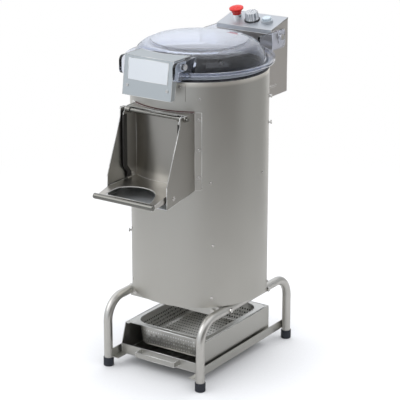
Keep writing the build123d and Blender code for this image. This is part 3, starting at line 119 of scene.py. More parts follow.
# %% [markdown]
# ## Colours and shader nodes
# Colours are written as hex values, as a paint shop or a web page gives them, and shaders want
# linear light, so one function turns the one into the other. A second one adds a shader node,
# sets its values and joins its inputs. The rest are the few steps that every material repeats.
# %% Colour and node helpers
def linear(code):
    """sRGB hex to linear: c/12.92 below 0.04045, and ((c+0.055)/1.055)^2.4 above it."""
    parts = np.array([int(code[i:i + 2], 16) for i in (1, 3, 5)]) / 255
    low = parts / 12.92
    high = ((parts + 0.055) / 1.055) ** 2.4
    return (*np.where(parts <= 0.04045, low, high), 1.0)


def add(tree, kind, links=None, **settings):
    """Add a node; settings are its properties or input values, links are its inputs' sources."""
    node = tree.nodes.new(kind)
    for name, value in settings.items():
        if hasattr(node, name):
            setattr(node, name, value)
        else:
            node.inputs[name.replace("_", " ")].default_value = value
    for name, source in (links or {}).items():
        tree.links.new(source, node.inputs[name])
    return node


def vector(tree, operation, *inputs, **settings):
    """One vector operation on sockets or fixed triples; returns its node."""
    node = add(tree, "ShaderNodeVectorMath", operation=operation, **settings)
    for place, value in enumerate(inputs):
        if isinstance(value, tuple):
            node.inputs[place].default_value = value
        else:
            tree.links.new(value, node.inputs[place])
    return node


def point(tree):
    """The surface point in the piece's own coordinates, which are the machine's at rest."""
    return add(tree, "ShaderNodeTexCoord").outputs["Object"]


def axes(tree, source):
    """A vector's parts, under the names X, Y and Z."""
    return add(tree, "ShaderNodeSeparateXYZ", {0: source}).outputs


def times(tree, first, second):
    """The product of two values."""
    return add(tree, "ShaderNodeMath", {0: first, 1: second}, operation="MULTIPLY").outputs[0]


def smooth(tree, value, low, high):
    """From 0 to 1 as the value goes from low to high, with soft ends."""
    return add(tree, "ShaderNodeMapRange", {"Value": value}, interpolation_type="SMOOTHSTEP",
               From_Min=low, From_Max=high).outputs[0]


def noise(tree, size_mm, detail):
    """Noise with blobs of about the given real size."""
    return add(tree, "ShaderNodeTexNoise", {"Vector": point(tree)}, Scale=1 / (size_mm * MM),
               Detail=detail).outputs[0]


def blend(tree, share, first, second):
    """Colours or sockets mixed by a share from 0 to 1; returns the colour socket. A mix node
    has its two colours at inputs 6 and 7, and their mixture at output 2."""
    mix = add(tree, "ShaderNodeMix", {"Factor": share}, data_type="RGBA")
    for place, colour in ((6, first), (7, second)):
        if isinstance(colour, tuple):
            mix.inputs[place].default_value = colour
        else:
            tree.links.new(colour, mix.inputs[place])
    return mix.outputs[2]


def ramp(tree, source, *stops):
    """A colour ramp with the given (place, colour) stops; returns its colour socket."""
    node = add(tree, "ShaderNodeValToRGB", {"Fac": source})
    band = node.color_ramp
    while len(band.elements) < len(stops):
        band.elements.new(0.5)
    for element, (place, colour) in zip(band.elements, stops):
        element.position = place
        element.color = colour
    return node.outputs[0]


def material(name, **settings):
    """A material whose Principled shader takes the given values; returns it and its tree."""
    made = bpy.data.materials.new(name)
    made.use_nodes = True
    shader = made.node_tree.nodes["Principled BSDF"]
    for key, value in settings.items():
        shader.inputs[key.replace("_", " ")].default_value = value
    return made, made.node_tree


def drive(tree, name, source):
    """Let a socket drive one input of the material's Principled shader."""
    tree.links.new(source, tree.nodes["Principled BSDF"].inputs[name])


def relief(tree, height, strength, depth, **more):
    """Bump from a height, at a strength and a real depth in metres."""
    bump = add(tree, "ShaderNodeBump", {"Height": height}, Strength=strength, Distance=depth,
               **more)
    drive(tree, "Normal", bump.outputs[0])


print("linear of mid grey:", [round(v, 3) for v in linear("#808080")[:3]])

# %% [markdown]
# ## Stainless steel
# The machine is made of stainless sheet with a fine ground finish. Grinding leaves long hairlines
# about a tenth of a millimetre wide; here they are drawn as wide as they need to be to show. They
# make the roughness vary along the grain, so a highlight breaks into soft streaks instead of a
# mirror. A second, slow pattern stands for the faint waves and wiped marks that thin sheet has.
# Steel has almost no colour of its own. The tones are warm greys, matched to the photograph.
# %% Ground stainless sheet
DRUM_TONE, CHUTE_TONE, DOOR_TONE, PAN_TONE = "#c8c6c0", "#afaca6", "#b2afa9", "#dddcd8"
GRAIN_UP = (0.6, 0.6, 40.0)      # width, width, length of a streak in mm: it runs up and down
GRAIN_DEEP = (0.6, 40.0, 0.6)    # from front to back
GRAIN_WIDE = (40.0, 0.6, 0.6)    # from side to side


def ground_steel(name, colour, rough, grain_mm=GRAIN_UP, wave=0.05):
    """Metal with streaks: noise on object coordinates, squeezed across the grain, drives a very
    small bump; with a slow noise of 90 mm added, it moves the roughness by wave up and down."""
    made, tree = material(name, Base_Color=linear(colour), Metallic=1.0, Roughness=rough)
    stretch = tuple(1 / (g * MM) for g in grain_mm)
    along = add(tree, "ShaderNodeMapping", {"Vector": point(tree)}, Scale=stretch)
    streak = add(tree, "ShaderNodeTexNoise", {"Vector": along.outputs[0]}, Scale=1.0,
                 Detail=3.0).outputs[0]
    both = add(tree, "ShaderNodeMath", {0: streak, 1: noise(tree, 90, 1.0)}, operation="ADD")
    spread = add(tree, "ShaderNodeMapRange", {"Value": both.outputs[0]},
                 From_Min=0.6, From_Max=1.4, To_Min=rough - wave, To_Max=rough + wave)
    drive(tree, "Roughness", spread.outputs[0])
    relief(tree, streak, 0.03, 0.0002)
    return made


# The drum: a soft sheen that is drawn out round the curve.
drum_steel = ground_steel("stainless_steel_ground_upright", DRUM_TONE, 0.38)
# Drawer, rails, beams and inner sheets: light grey, with streaks that run to the back.
sheet_steel = ground_steel("stainless_steel_ground_sheet", "#c8c7c2", 0.34, GRAIN_DEEP)
# Chute and door: darker sheets, which stand in each other's shade.
chute_steel = ground_steel("stainless_steel_ground_chute", CHUTE_TONE, 0.34)
door_steel = ground_steel("stainless_steel_ground_door", DOOR_TONE, 0.34)
# The chute's floor: painted near white, a painted light that lifts the shaded hand hole of the
# tray to grey.
chute_floor_light_steel = ground_steel("stainless_steel_chute_floor_painted_light", "#f6f9fc", 0.45, GRAIN_DEEP)
# Control panel: satin, so that it shows the buttons only as a blur.
panel_steel = ground_steel("stainless_steel_satin_panel", "#d9dde2", 0.5, GRAIN_WIDE)
# Control box: the warmest of the greys.
box_steel = ground_steel("stainless_steel_ground_box", "#d6d1cc", 0.34)
# Latch plate: a cooler, even satin.
latch_steel = ground_steel("stainless_steel_satin_latch", "#c8cdcf", 0.36)
# Stand: drawn tube, with a bright line along each bend.
tube_steel = ground_steel("stainless_steel_satin_tube", "#d6d4cf", 0.3, (1.0, 30.0, 1.0), 0.04)
# Rod and bar of the door: turned steel that mirrors the dark room in a sharp line. Its colour is
# painted darker than the other steel, a painted shade that dims the whole bar.
bar_steel = ground_steel("stainless_steel_turned_bar_painted_dark", "#868580", 0.22, (30.0, 1.0, 1.0), 0.04)
# Pan: pressed from bright sheet.
pan_steel = ground_steel("stainless_steel_bright_pressed", PAN_TONE, 0.34, (0.6, 25.0, 0.6), 0.04)
# Bolts and screws: small hard glints.
bolt_steel = ground_steel("stainless_steel_turned", "#d6d4d0", 0.22, (0.5, 0.5, 0.5))
# Deburred edges: thin lines painted nearly white, a painted highlight on the rounded edge.
edge_highlight_steel = ground_steel("stainless_steel_edge_painted_highlight", "#fafaf8", 0.3, (2.0, 2.0, 2.0))
# The bare plate on the latch: matt anodised aluminium, the palest metal of all.
plate_metal = ground_steel("aluminium_anodised_plate", "#f6f9fc", 0.45, GRAIN_WIDE)
print("metals:", [m.name for m in bpy.data.materials])

# %% [markdown]
# ## Painted shade and highlights on the steel
# The drum is one sheet. Its inner face is painted dark, a painted shade for the dim inside of the
# drum, and its rolled shoulder under the lid is painted near white, a painted highlight. The
# chute's flanges lie flat on the drum and keep a lighter tone, out of the chute's painted shade,
# and the door's tray is painted lighter, a painted highlight where it looks up at the light. The
# tones are blended over the base colour by the distance from the drum's axis or by the height.
# %% Tones by distance and height
# Painted shade: the drum's inner face is painted dark out to this distance from the radius.
INSIDE_SHADE = (-1.0 * MM, -0.4 * MM)    # where the inner face ends, from the drum's radius
FLANGE_EDGE = (2.5 * MM, 3.5 * MM)      # where the chute's flange ends, from the drum's radius
# Painted highlight: the drum's shoulder is painted near white, starting between these depths below
# its top.
SHOULDER_HIGHLIGHT = (-22 * MM, -9 * MM)          # where the bright shoulder starts, from the drum's top
TRAY_FADE = (20 * MM, 35 * MM)          # where the tray's tone ends, above its bar


def from_axis(tree, low, high):
    """From 0 to 1 as the point's distance from the drum's axis goes from the drum's radius plus
    low to the radius plus high. The distance is the length of (x, y - axis)."""
    moved = vector(tree, "SUBTRACT", point(tree), (0, AXIS_Y, 0)).outputs[0]
    flat = vector(tree, "MULTIPLY", moved, (1, 1, 0)).outputs[0]
    reach = vector(tree, "LENGTH", flat).outputs["Value"]
    return smooth(tree, reach, DRUM_R + low, DRUM_R + high)


def from_height(tree, level, low, high):
    """From 0 to 1 as the point's height goes from the level plus low to the level plus high."""
    return smooth(tree, axes(tree, point(tree))["Z"], level + low, level + high)


tree = drum_steel.node_tree
# Painted shade on the drum's inner face, then a painted highlight on its rolled shoulder.
outer = from_axis(tree, *INSIDE_SHADE)
tone = blend(tree, outer, linear("#3e3e40"), linear(DRUM_TONE))
shoulder = times(tree, outer, from_height(tree, shell_high.z, *SHOULDER_HIGHLIGHT))
drive(tree, "Base Color", blend(tree, shoulder, tone, linear("#f8f3ea")))

# Painted light: the chute's flange is painted lighter, out of the chute's painted shade.
tree = chute_steel.node_tree
drive(tree, "Base Color", blend(tree, from_axis(tree, *FLANGE_EDGE), linear("#c6c3bd"),
                                linear(CHUTE_TONE)))

# Painted highlight: the door's tray is painted lighter up to about 20 to 35 mm above its bar.
tree = door_steel.node_tree
drive(tree, "Base Color", blend(tree, from_height(tree, tray_top, *TRAY_FADE),
                                linear("#cdcac4"), linear(DOOR_TONE)))
print("drum radius for the tones in mm:", round(DRUM_R / MM, 1))

# %% [markdown]
# ## The pan's holes
# The pressed pan is pierced all over. The exact model has only a part of the pattern, so the
# holes between its holes are drawn: the distance to the nearest point of a lattice, measured in
# the plane of the surface, is dark inside the hole's radius. On the outside of the front wall one
# sees the lit floor of the pan through the holes, so there they are light.
# %% Holes between the drilled ones
PITCH_X, PITCH_Y, PITCH_Z = 8.5 * MM, 8.5 * MM, 11.0 * MM
HOLE_EDGE = (2.7 * MM, 2.2 * MM)        # the soft edge of a hole, as two radii
FLOOR_TOP = (3.5 * MM, 2.5 * MM)        # heights over the pan's underside where the floor ends
WALL_FOOT = (9.5 * MM, 10.5 * MM)       # where the pierced part of the wall starts
WALL_TOP = (51 * MM, 50 * MM)           # and where it ends
FRONT_DEPTH = (30 * MM, 20 * MM)        # how far back from the front the front wall reaches
FIRST_ROW = 24 * MM                     # height of one row of the wall's holes

pan_middle = ((pan_low.x + pan_high.x) / 2, (pan_low.y + pan_high.y) / 2 + PITCH_Y,
              pan_low.z + FIRST_ROW)
tree = pan_steel.node_tree
coordinates = add(tree, "ShaderNodeTexCoord").outputs
place = axes(tree, coordinates["Object"])
facing = coordinates["Normal"]
turned = axes(tree, facing)

# The lattice cell around each point; on the floor the rows are twice as far apart in y.
moved = vector(tree, "SUBTRACT", coordinates["Object"], pan_middle).outputs[0]
upright = times(tree, turned["Z"], turned["Z"])
half_y = add(tree, "ShaderNodeMapRange", {"Value": upright}, To_Min=PITCH_Y / 2, To_Max=PITCH_Y)
half = add(tree, "ShaderNodeCombineXYZ", {"Y": half_y.outputs[0]}, X=PITCH_X / 2,
           Z=PITCH_Z / 2).outputs[0]
less = vector(tree, "SCALE", half, Scale=-1.0).outputs[0]
cell = vector(tree, "WRAP", moved, half, less).outputs[0]

# The squared distance to the cell's middle, without the part along the surface's normal.
squares = vector(tree, "MULTIPLY", cell, cell).outputs[0]
across = vector(tree, "MULTIPLY", facing, facing).outputs[0]
flat = vector(tree, "SUBTRACT", (1, 1, 1), across).outputs[0]
reach = vector(tree, "DOT_PRODUCT", squares, flat).outputs["Value"]
hole = smooth(tree, reach, HOLE_EDGE[0] ** 2, HOLE_EDGE[1] ** 2)


def pan_zone(axis, start, limits):
    """From 0 to 1 between two distances along an axis, counted from the pan's low corner."""
    return smooth(tree, place[axis], start + limits[0], start + limits[1])


floor_zone = pan_zone("Z", pan_low.z, FLOOR_TOP)
wall_zone = times(tree, pan_zone("Z", pan_low.z, WALL_FOOT), pan_zone("Z", pan_low.z, WALL_TOP))
zone = add(tree, "ShaderNodeMath", {0: floor_zone, 1: wall_zone}, operation="ADD").outputs[0]
front = times(tree, pan_zone("Y", pan_low.y, FRONT_DEPTH), smooth(tree, turned["Y"], -0.5, -0.7))
shade = blend(tree, front, linear("#0d0d0e"), linear("#ffffff"))
drive(tree, "Base Color", blend(tree, times(tree, hole, zone), linear(PAN_TONE), shade))
print("pan middle in mm:", [round(v / MM, 1) for v in pan_middle])

# %% [markdown]
# ## Clear polycarbonate
# The lid is moulded from clear polycarbonate. Its IOR is 1.585, but a lid in a dark room mirrors
# less than that in this pale studio, so it is matched at 1.42. It has a cold, faintly violet
# cast, which grows where one looks through more of it, and the crown is hazy from wiping.
# %% Clear plastic
HAZE_FROM, HAZE_TO = 0.912, 0.937       # heights between which the lid turns from clear to hazy
CROWN_CLEAR = 0.7                       # share of light that still goes straight through there

lid_clear, tree = material(
    "polycarbonate_clear_moulded", Base_Color=linear("#e4e8f2"), Roughness=0.02, IOR=1.42)
haze = add(tree, "ShaderNodeMapRange", {"Value": axes(tree, point(tree))["Z"]},
           interpolation_type="SMOOTHSTEP", From_Min=HAZE_FROM, From_Max=HAZE_TO,
           To_Min=1.0, To_Max=CROWN_CLEAR)
drive(tree, "Transmission Weight", haze.outputs[0])
relief(tree, noise(tree, 25, 2.0), 0.02, 0.001)
print("made", lid_clear.name)

# %% [markdown]
# ## Rubber and plastics
# Feet and seals are EPDM rubber: nearly black, with a dusty bloom that makes them look matt. The
# buttons are moulded ABS with a soft gloss, and the rings and housings polyamide, which comes out
# of a grained mould. The timer knob is clear acrylic with ribs for the fingers: the ribs show as
# dark upright lines, so they are drawn as bands 5.5 mm apart.
# %% Rubber and plastics
WAVE_PERIOD = 0.314                     # the wave texture's own period at scale 1, in metres
RIB_PITCH = 5.5 * MM


def moulded(name, colour, rough, grain_mm, depth, **more):
    """Plastic or rubber: one colour, a fine noise of the given grain size as bump, and a slow
    noise of 8 mm that moves the roughness by a tenth."""
    made, tree = material(name, Base_Color=linear(colour), Roughness=rough, **more)
    relief(tree, noise(tree, grain_mm, 2.0), depth, 0.0003)
    spread = add(tree, "ShaderNodeMapRange", {"Value": noise(tree, 8, 1.0)},
                 From_Min=0.3, From_Max=0.7, To_Min=rough * 0.9, To_Max=rough * 1.1)
    drive(tree, "Roughness", spread.outputs[0])
    return made


# Feet and belt: matt, blue-black.
rubber_black = moulded("rubber_epdm_moulded", "#2a2d35", 0.6, 0.8, 0.3)
# Edging and seal of the door: the same rubber in a browner tone. The dark edging is partly rubber
# and partly a painted shadow for the gap beside the door's flange.
trim_rubber = moulded("rubber_epdm_extruded", "#343230", 0.6, 0.8, 0.3)
# Gasket in the lid's rim: a grey line under the clear plastic.
seal_grey = moulded("silicone_grey_moulded", "#8f949c", 0.5, 0.8, 0.2)
# Sealant over the chute: a thin brown-red line.
sealant = moulded("silicone_sealant_brown", "#5b3a37", 0.5, 1.0, 0.2)
# Stop button: the one strong colour.
plastic_red = moulded("abs_red_gloss", "#c62018", 0.28, 1.5, 0.1, IOR=1.53)
# Start button: pale, with a bright top.
plastic_pale = moulded("abs_pale_grey_gloss", "#b7c3cc", 0.3, 1.5, 0.1, IOR=1.53)
# Ring of the start button: a darker edge round it.
plastic_grey = moulded("polyamide_grey_moulded", "#a2a8ae", 0.5, 0.8, 0.2, IOR=1.53)
# Ring of the timer, housings and glands: matt black.
plastic_black = moulded("polyamide_black_moulded", "#1f2022", 0.5, 0.8, 0.2, IOR=1.53)
# Collar of the stop button: a small mirror.
chrome = moulded("chrome_plated_brass", "#f4f4f4", 0.1, 2.0, 0.05, Metallic=1.0)
# Motor, pulleys and bearing: rough and dull, as the sand left them.
cast_metal = moulded("aluminium_sand_cast", "#a3a5a6", 0.5, 2.0, 0.5, Metallic=1.0)
# Timer knob: half clear, with dark ribs.
knob_clear = moulded("acrylic_clear_ribbed", "#e4e8ee", 0.18, 2.0, 0.1, IOR=1.49,
                     Transmission_Weight=0.5)
tree = knob_clear.node_tree
ribs = add(tree, "ShaderNodeTexWave", {"Vector": point(tree)}, Scale=WAVE_PERIOD / RIB_PITCH)
between = smooth(tree, ribs.outputs["Fac"], 0.05, 0.4)
drive(tree, "Base Color", blend(tree, between, linear("#6d747c"), linear("#eef1f5")))
print("materials so far:", len(bpy.data.materials))

# %% [markdown]
# ## Grit
# The disc and the liner rub the skin off the potatoes. They are coated with silicon carbide grit
# in resin. Each stone is a cell of a pattern 2.5 mm wide, with its own grey and its own hump, and
# the wet resin between them takes the shine away, so the drum looks deep and dark through the lid.
# %% Silicon carbide grit
grit, tree = material("silicon_carbide_grit_in_resin", Roughness=0.7, Specular_IOR_Level=0.2)
stones = add(tree, "ShaderNodeTexVoronoi", {"Vector": point(tree)}, Scale=1 / (2.5 * MM)).outputs
drive(tree, "Base Color",
      ramp(tree, stones["Color"], (0.2, linear("#1c1c1d")), (0.8, linear("#474645"))))
relief(tree, stones["Distance"], 0.8, 0.001, invert=True)
print("materials so far:", len(bpy.data.materials))

# %% [markdown]
# ## Smooth copies of the exact pieces
# The exact model comes as loose triangles with flat shading. For the picture each piece gets a
# copy whose corners are merged, so that a curved wall can be shaded smoothly, while folds and cut
# edges sharper than 28 degrees stay crisp. The copy stands for the exact piece and moves with it.
# %% Finishes, piece by piece
finishes = {
    drum_steel: ["drum_shell", "catch_bracket"],
    chute_steel: ["chute_side_right", "chute_roof"],
    door_steel: ["door_panel"],
    latch_steel: ["latch_plate"],
    box_steel: ["control_box", "box_cover"],
    panel_steel: ["control_panel"],
    plate_metal: ["nameplate_blank"],
    chute_floor_light_steel: ["chute_floor"],
    sheet_steel: [
        "chute_side_left", "latch_magnet", "filter_drawer", "drawer_strap",
        "drawer_rail_left", "drawer_rail_right", "cross_member_front", "cross_member_rear",
        "drum_base", "chamber_floor", "motor_plate", "drain_pipe", "drawer_outlet",
    ],
    tube_steel: ["leg_tube_left", "leg_tube_right"],
    bar_steel: ["door_bar", "door_rod"],
    pan_steel: ["filter_pan"],
    bolt_steel: [
        "frame_bolts", "drum_screws", "latch_screws", "latch_bolts", "lid_hinge_bolts",
        "disc_cap", "disc_shaft", "motor_rotor",
    ],
    rubber_black: ["rubber_feet", "drive_belt"],
    trim_rubber: ["door_gasket", "door_trim"],
    seal_grey: ["lid_gasket"],
    plastic_red: ["stop_cap"],
    plastic_pale: ["start_cap"],
    plastic_grey: ["start_ring"],
    plastic_black: [
        "timer_ring", "stop_stem", "switch_bodies", "lid_sensor", "cable_gland", "water_valve",
    ],
    knob_clear: ["timer_knob"],
    chrome: ["stop_collar"],
    cast_metal: ["motor_body", "motor_pulley", "disc_pulley", "bearing_housing"],
    grit: ["peeling_disc", "abrasive_liner"],
    lid_clear: ["lid_dome"],
}
SHARP = math.radians(28)
MERGE = 1e-6


def new_piece(name, mesh, finish, body):
    """An object at the origin with one finish, which moves with a body."""
    mesh.materials.append(finish)
    piece = bpy.data.objects.new(name, mesh)
    bpy.context.scene.collection.objects.link(piece)
    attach(piece, body)
    return piece


def smooth_copy(name, finish):
    """A merged copy of a CAD node: doubles within a micrometre are joined, edges sharper than
    the limit are marked sharp, and the rest is shaded smooth."""
    mesh = nodes[name].data.copy()
    mesh.name = name + "_smooth"
    build = bmesh.new()
    build.from_mesh(mesh)
    bmesh.ops.remove_doubles(build, verts=build.verts, dist=MERGE)
    build.to_mesh(mesh)
    build.free()
    if "custom_normal" in mesh.attributes:
        mesh.attributes.remove(mesh.attributes["custom_normal"])
    mesh.shade_smooth()
    mesh.set_sharp_from_angle(angle=SHARP)
    mesh.materials.clear()
    piece = new_piece(name + "_smooth", mesh, finish, nodes[name]["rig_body"])
    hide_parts(name)
    weigh = piece.modifiers.new("weighted_normals", "WEIGHTED_NORMAL")
    weigh.keep_sharp = True
    return piece


dressed = {name: smooth_copy(name, finish) for finish, names in finishes.items()
           for name in names}
print("dressed", len(dressed), "pieces; left over:", sorted(set(nodes) - set(dressed)))

# %% [markdown]
# ## Painted highlights along the sheets' edges
# Sheet parts are cut, then deburred with a fine wheel, and each rounded edge catches the light as
# a thin bright line. A bevel would do this on a clean mesh, but the exact pieces have long thin
# triangles that a bevel can't cross. So a thin round bead is laid along every sharp edge instead,
# in a nearly white steel that makes it a painted highlight. On the pan only the rim gets one,
# and a thicker one, because its edge is rolled over.
# %% Beads along the sharp edges
EDGE_MM = 1.0
RIM_MM = 2.0
RIM_DEPTH = 2 * MM
SHORTEST = 1e-5
SIDES = 6


def edge_beads(name, thick_mm, lowest=-1.0):
    """Beads on a piece's sharp edges above a height: from each edge's ends, six corners at
    end + r (cos t u + sin t v), where u and v stand square to the edge, joined to a prism."""
    mesh = dressed[name].data
    pairs = np.empty(2 * len(mesh.edges), np.int32)
    mesh.edges.foreach_get("vertices", pairs)
    sharp = np.empty(len(mesh.edges), bool)
    mesh.edges.foreach_get("use_edge_sharp", sharp)
    points = np.empty(3 * len(mesh.vertices))
    mesh.vertices.foreach_get("co", points)
    ends = points.reshape(-1, 3)[pairs.reshape(-1, 2)[sharp]]
    ends = ends[ends[:, :, 2].min(axis=1) > lowest]
    along = ends[:, 1] - ends[:, 0]
    long = np.linalg.norm(along, axis=1)
    ends, along = ends[long > SHORTEST], along[long > SHORTEST] / long[long > SHORTEST, None]
    square = np.cross(along, np.eye(3)[np.abs(along).argmin(axis=1)])
    square /= np.linalg.norm(square, axis=1)[:, None]
    turn = (np.arange(SIDES) * 2 * np.pi / SIDES)[None, :, None]
    ring = np.cos(turn) * square[:, None] + np.sin(turn) * np.cross(along, square)[:, None]
    corners = ends[:, :, None] + thick_mm / 2 * MM * ring[:, None]
    first = 2 * SIDES * np.arange(len(ends))[:, None, None]
    step = np.arange(SIDES)
    after = (step + 1) % SIDES
    sides = np.stack([step, after, after + SIDES, step + SIDES], axis=1) + first
    caps = np.stack([step[::-1], step + SIDES]) + first
    made = bpy.data.meshes.new(name + "_edges")
    made.from_pydata(corners.reshape(-1, 3).tolist(), [],
                     sides.reshape(-1, 4).tolist() + caps.reshape(-1, SIDES).tolist())
    made.shade_smooth()
    new_piece(name + "_edges", made, edge_highlight_steel, nodes[name]["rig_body"])
    return len(ends)


beads = {name: edge_beads(name, EDGE_MM) for name in [
    "latch_plate", "chute_side_left", "chute_side_right", "chute_roof", "door_panel",
    "control_box", "control_panel", "filter_drawer", "drawer_strap", "nameplate_blank"]}
beads["filter_pan"] = edge_beads("filter_pan", RIM_MM, pan_high.z - RIM_DEPTH)
print("edges with a bead:", beads)

# %% [markdown]
# ## Seal over the chute
# Where the chute's roof meets the drum, the joint is closed with a thin bead of brown-red
# sealant, pressed in with a finger. It is a small rectangle carried along the drum's arc, because
# at this size its round face would never be seen.
# %% Seal strip
SEAL_GAP, SEAL_HIGH, SEAL_THICK = 0.2 * MM, 3 * MM, 1.6 * MM


def arc_strip(name, radius, half, low, high, thick, finish, body, count=48):
    """A strip on the arc y = axis - sqrt(r^2 - x^2) for x from -half to half: the corners of a
    thick by (high - low) rectangle at each x, joined to the next, with both ends closed."""
    x = np.linspace(-half, half, count)
    inner = AXIS_Y - np.sqrt(radius ** 2 - x ** 2)
    outer = AXIS_Y - np.sqrt((radius + thick) ** 2 - x ** 2)
    z = np.ones(count)
    rows = np.stack([
        np.stack([x, inner, low * z], 1), np.stack([x, outer, low * z], 1),
        np.stack([x, outer, high * z], 1), np.stack([x, inner, high * z], 1)], axis=1)
    start = 4 * np.arange(count - 1)[:, None, None]
    side = np.arange(4)
    quads = np.stack([side, (side + 1) % 4, (side + 1) % 4 + 4, side + 4], axis=1)
    faces = (quads[:, ::-1] + start).reshape(-1, 4).tolist()
    faces += [[0, 1, 2, 3], [4 * count - 1, 4 * count - 2, 4 * count - 3, 4 * count - 4]]
    made = bpy.data.meshes.new(name)
    made.from_pydata(rows.reshape(-1, 3).tolist(), [], faces)
    return new_piece(name, made, finish, body)


arc_strip("chute_seal", DRUM_R + SEAL_GAP, roof_high.x, roof_high.z, roof_high.z + SEAL_HIGH,
          SEAL_THICK, sealant, "frame")
print("seal strip at z in mm:", round(roof_high.z / MM, 1))

# %% [markdown]
# ## Floor of the studio
# The machine stands on white paper that runs into a white background. Steel shows what is around
# it, so the studio matters more than the lamps. The paper near the machine takes its soft shadow
# from the lamps, deepened by a painted shadow where ambient occlusion finds the machine close by.
# Further out the camera sees pure white, while the steel sees a room: pale in general, with a
# dark part to the right of the camera that draws the dark band down the drum's middle, a greyer
# side beyond it, and white behind the machine.
# %% Floor
DARK_SIDE, GREY_SIDE, BEHIND = 38, 118, 180    # degrees to the right of the camera's direction
FLOOR_RADIUS, FLOOR_COUNT = 6.0, 96
SHADOW_REACH = 0.35                            # how far from the feet the paper still darkens
WHITE = (1, 1, 1, 1)


def towards(tree, turn, wide, narrow):
    """From 0 to 1 as the place nears one direction over the floor, from the wide to the narrow
    angle on either side of it. 0 degrees is the camera's direction; turns go to its right."""
    azimuth = CAMERA_AZIMUTH + math.radians(turn)
    unit = vector(tree, "NORMALIZE", point(tree)).outputs[0]
    reach = vector(tree, "DOT_PRODUCT", unit, (math.sin(azimuth), -math.cos(azimuth), 0))
    return smooth(tree, reach.outputs["Value"], math.cos(math.radians(wide)),
                  math.cos(math.radians(narrow)))


def seen_white(tree):
    """1 for the rays that show the background itself: from the camera and through the lid."""
    rays = add(tree, "ShaderNodeLightPath").outputs
    return add(tree, "ShaderNodeMath", {0: rays["Is Camera Ray"], 1: rays["Is Transmission Ray"]},
               operation="MAXIMUM").outputs[0]


def disc_floor(radius, count, finish):
    """A flat disc: count points r (cos t, sin t) round a circle, joined to one face."""
    turn = np.linspace(0, 2 * np.pi, count, endpoint=False)
    points = np.stack([radius * np.cos(turn), radius * np.sin(turn), np.zeros(count)], axis=1)
    mesh = bpy.data.meshes.new("floor")
    mesh.from_pydata(points.tolist(), [], [list(range(count))])
    mesh.materials.append(finish)
    floor = bpy.data.objects.new("floor", mesh)
    bpy.context.scene.collection.objects.link(floor)


floor_paper = bpy.data.materials.new("paper_white_floor")
floor_paper.use_nodes = True
tree = floor_paper.node_tree
tree.nodes.clear()
away = vector(tree, "LENGTH", point(tree)).outputs["Value"]
seen = seen_white(tree)

# Near the machine: paper, lifted to white for the camera, with a painted shadow where ambient
# occlusion finds the machine close by.
paper = add(tree, "ShaderNodeBsdfDiffuse", Color=linear("#bcbcbc"))
cover = add(tree, "ShaderNodeAmbientOcclusion", samples=8, Distance=SHADOW_REACH)
lift = add(tree, "ShaderNodeEmission", {"Strength": times(tree, seen, cover.outputs["AO"])},
           Color=linear("#b0b2b7"))
near = add(tree, "ShaderNodeAddShader", {0: paper.outputs[0], 1: lift.outputs[0]})

# Further out: white for the camera, and the room's tones for the steel.
tone = blend(tree, smooth(tree, away, 2.8, 4.8), linear("#b9babc"), linear("#d3d9e0"))
dark = times(tree, towards(tree, DARK_SIDE, 58, 12), smooth(tree, away, 1.2, 2.8))
tone = blend(tree, dark, tone, linear("#7f7d7b"))
side = times(tree, towards(tree, GREY_SIDE, 60, 15), smooth(tree, away, 1.2, 2.8))
tone = blend(tree, side, tone, linear("#a9a9a8"))
tone = blend(tree, towards(tree, BEHIND, 55, 20), tone, WHITE)
room = add(tree, "ShaderNodeEmission", {"Color": tone}, Strength=1.0)
white = add(tree, "ShaderNodeEmission", Color=WHITE, Strength=1.0)
far = add(tree, "ShaderNodeMixShader", {0: seen, 1: room.outputs[0], 2: white.outputs[0]})
both = add(tree, "ShaderNodeMixShader",
           {0: smooth(tree, away, 0.9, 2.0), 1: near.outputs[0], 2: far.outputs[0]})
add(tree, "ShaderNodeOutputMaterial", {"Surface": both.outputs[0]})
disc_floor(FLOOR_RADIUS, FLOOR_COUNT, floor_paper)
print("floor of", FLOOR_RADIUS, "m radius")

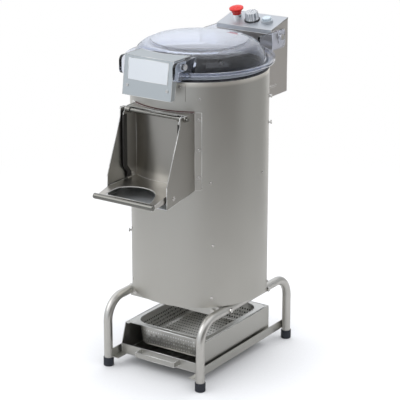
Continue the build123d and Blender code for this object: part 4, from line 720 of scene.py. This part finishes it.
# %% [markdown]
# ## Walls of the studio
# A studio's walls and ceiling are large pale surfaces, brightest overhead. The same two parts as
# on the floor are darker. The camera, and what it sees through the lid, gets plain white.
# %% World
world = bpy.data.worlds.new("studio")
bpy.context.scene.world = world
world.use_nodes = True
tree = world.node_tree
tree.nodes.clear()
tone = ramp(tree, axes(tree, point(tree))["Z"], (0.0, linear("#dde2e8")),
            (0.3, linear("#e6eaef")), (0.7, linear("#fbfcff")))
tone = blend(tree, towards(tree, DARK_SIDE, 60, 15), tone, linear("#757473"))
tone = blend(tree, towards(tree, GREY_SIDE, 60, 15), tone, linear("#b4b6b8"))
room = add(tree, "ShaderNodeBackground", {"Color": tone}, Strength=1.0)
white = add(tree, "ShaderNodeBackground", Color=WHITE, Strength=1.0)
pick = add(tree, "ShaderNodeMixShader",
           {0: seen_white(tree), 1: room.outputs[0], 2: white.outputs[0]})
add(tree, "ShaderNodeOutputWorld", {"Surface": pick.outputs[0]})
print("world:", world.name)

# %% [markdown]
# ## Lamps
# Three large softboxes give the light its direction: a key from the left front, a fill from the
# right and one overhead. Only half of the key shows as a reflection. Reflected in full, the
# lamps would blow the control panel and the lid out to white.
# %% Lamps
KEY_PLACE = (-2.2, -2.6, 3.2)
LAMP_AIM = (0, 0, 0.5)


def softbox(name, place, size, watts, reflected):
    """A square area lamp at a place, turned towards the machine."""
    data = bpy.data.lights.new(name, "AREA")
    data.size = size
    data.energy = watts
    lamp = bpy.data.objects.new(name, data)
    lamp.location = place
    lamp.rotation_euler = (Vector(LAMP_AIM) - Vector(place)).to_track_quat("-Z", "Y").to_euler()
    lamp.visible_glossy = reflected
    bpy.context.scene.collection.objects.link(lamp)


softbox("key_left", KEY_PLACE, 3.0, 30, True)
softbox("key_left_soft", KEY_PLACE, 3.0, 25, False)
softbox("fill_right", (3.2, -1.4, 2.6), 2.8, 45, False)
softbox("top", (-0.2, 0.9, 3.4), 3.0, 70, False)
print("lamps:", len(bpy.data.lights))

# %% [markdown]
# ## View transform
# The render uses the Standard view transform.
# %% View transform, and the end
bpy.context.scene.view_settings.view_transform = "Standard"
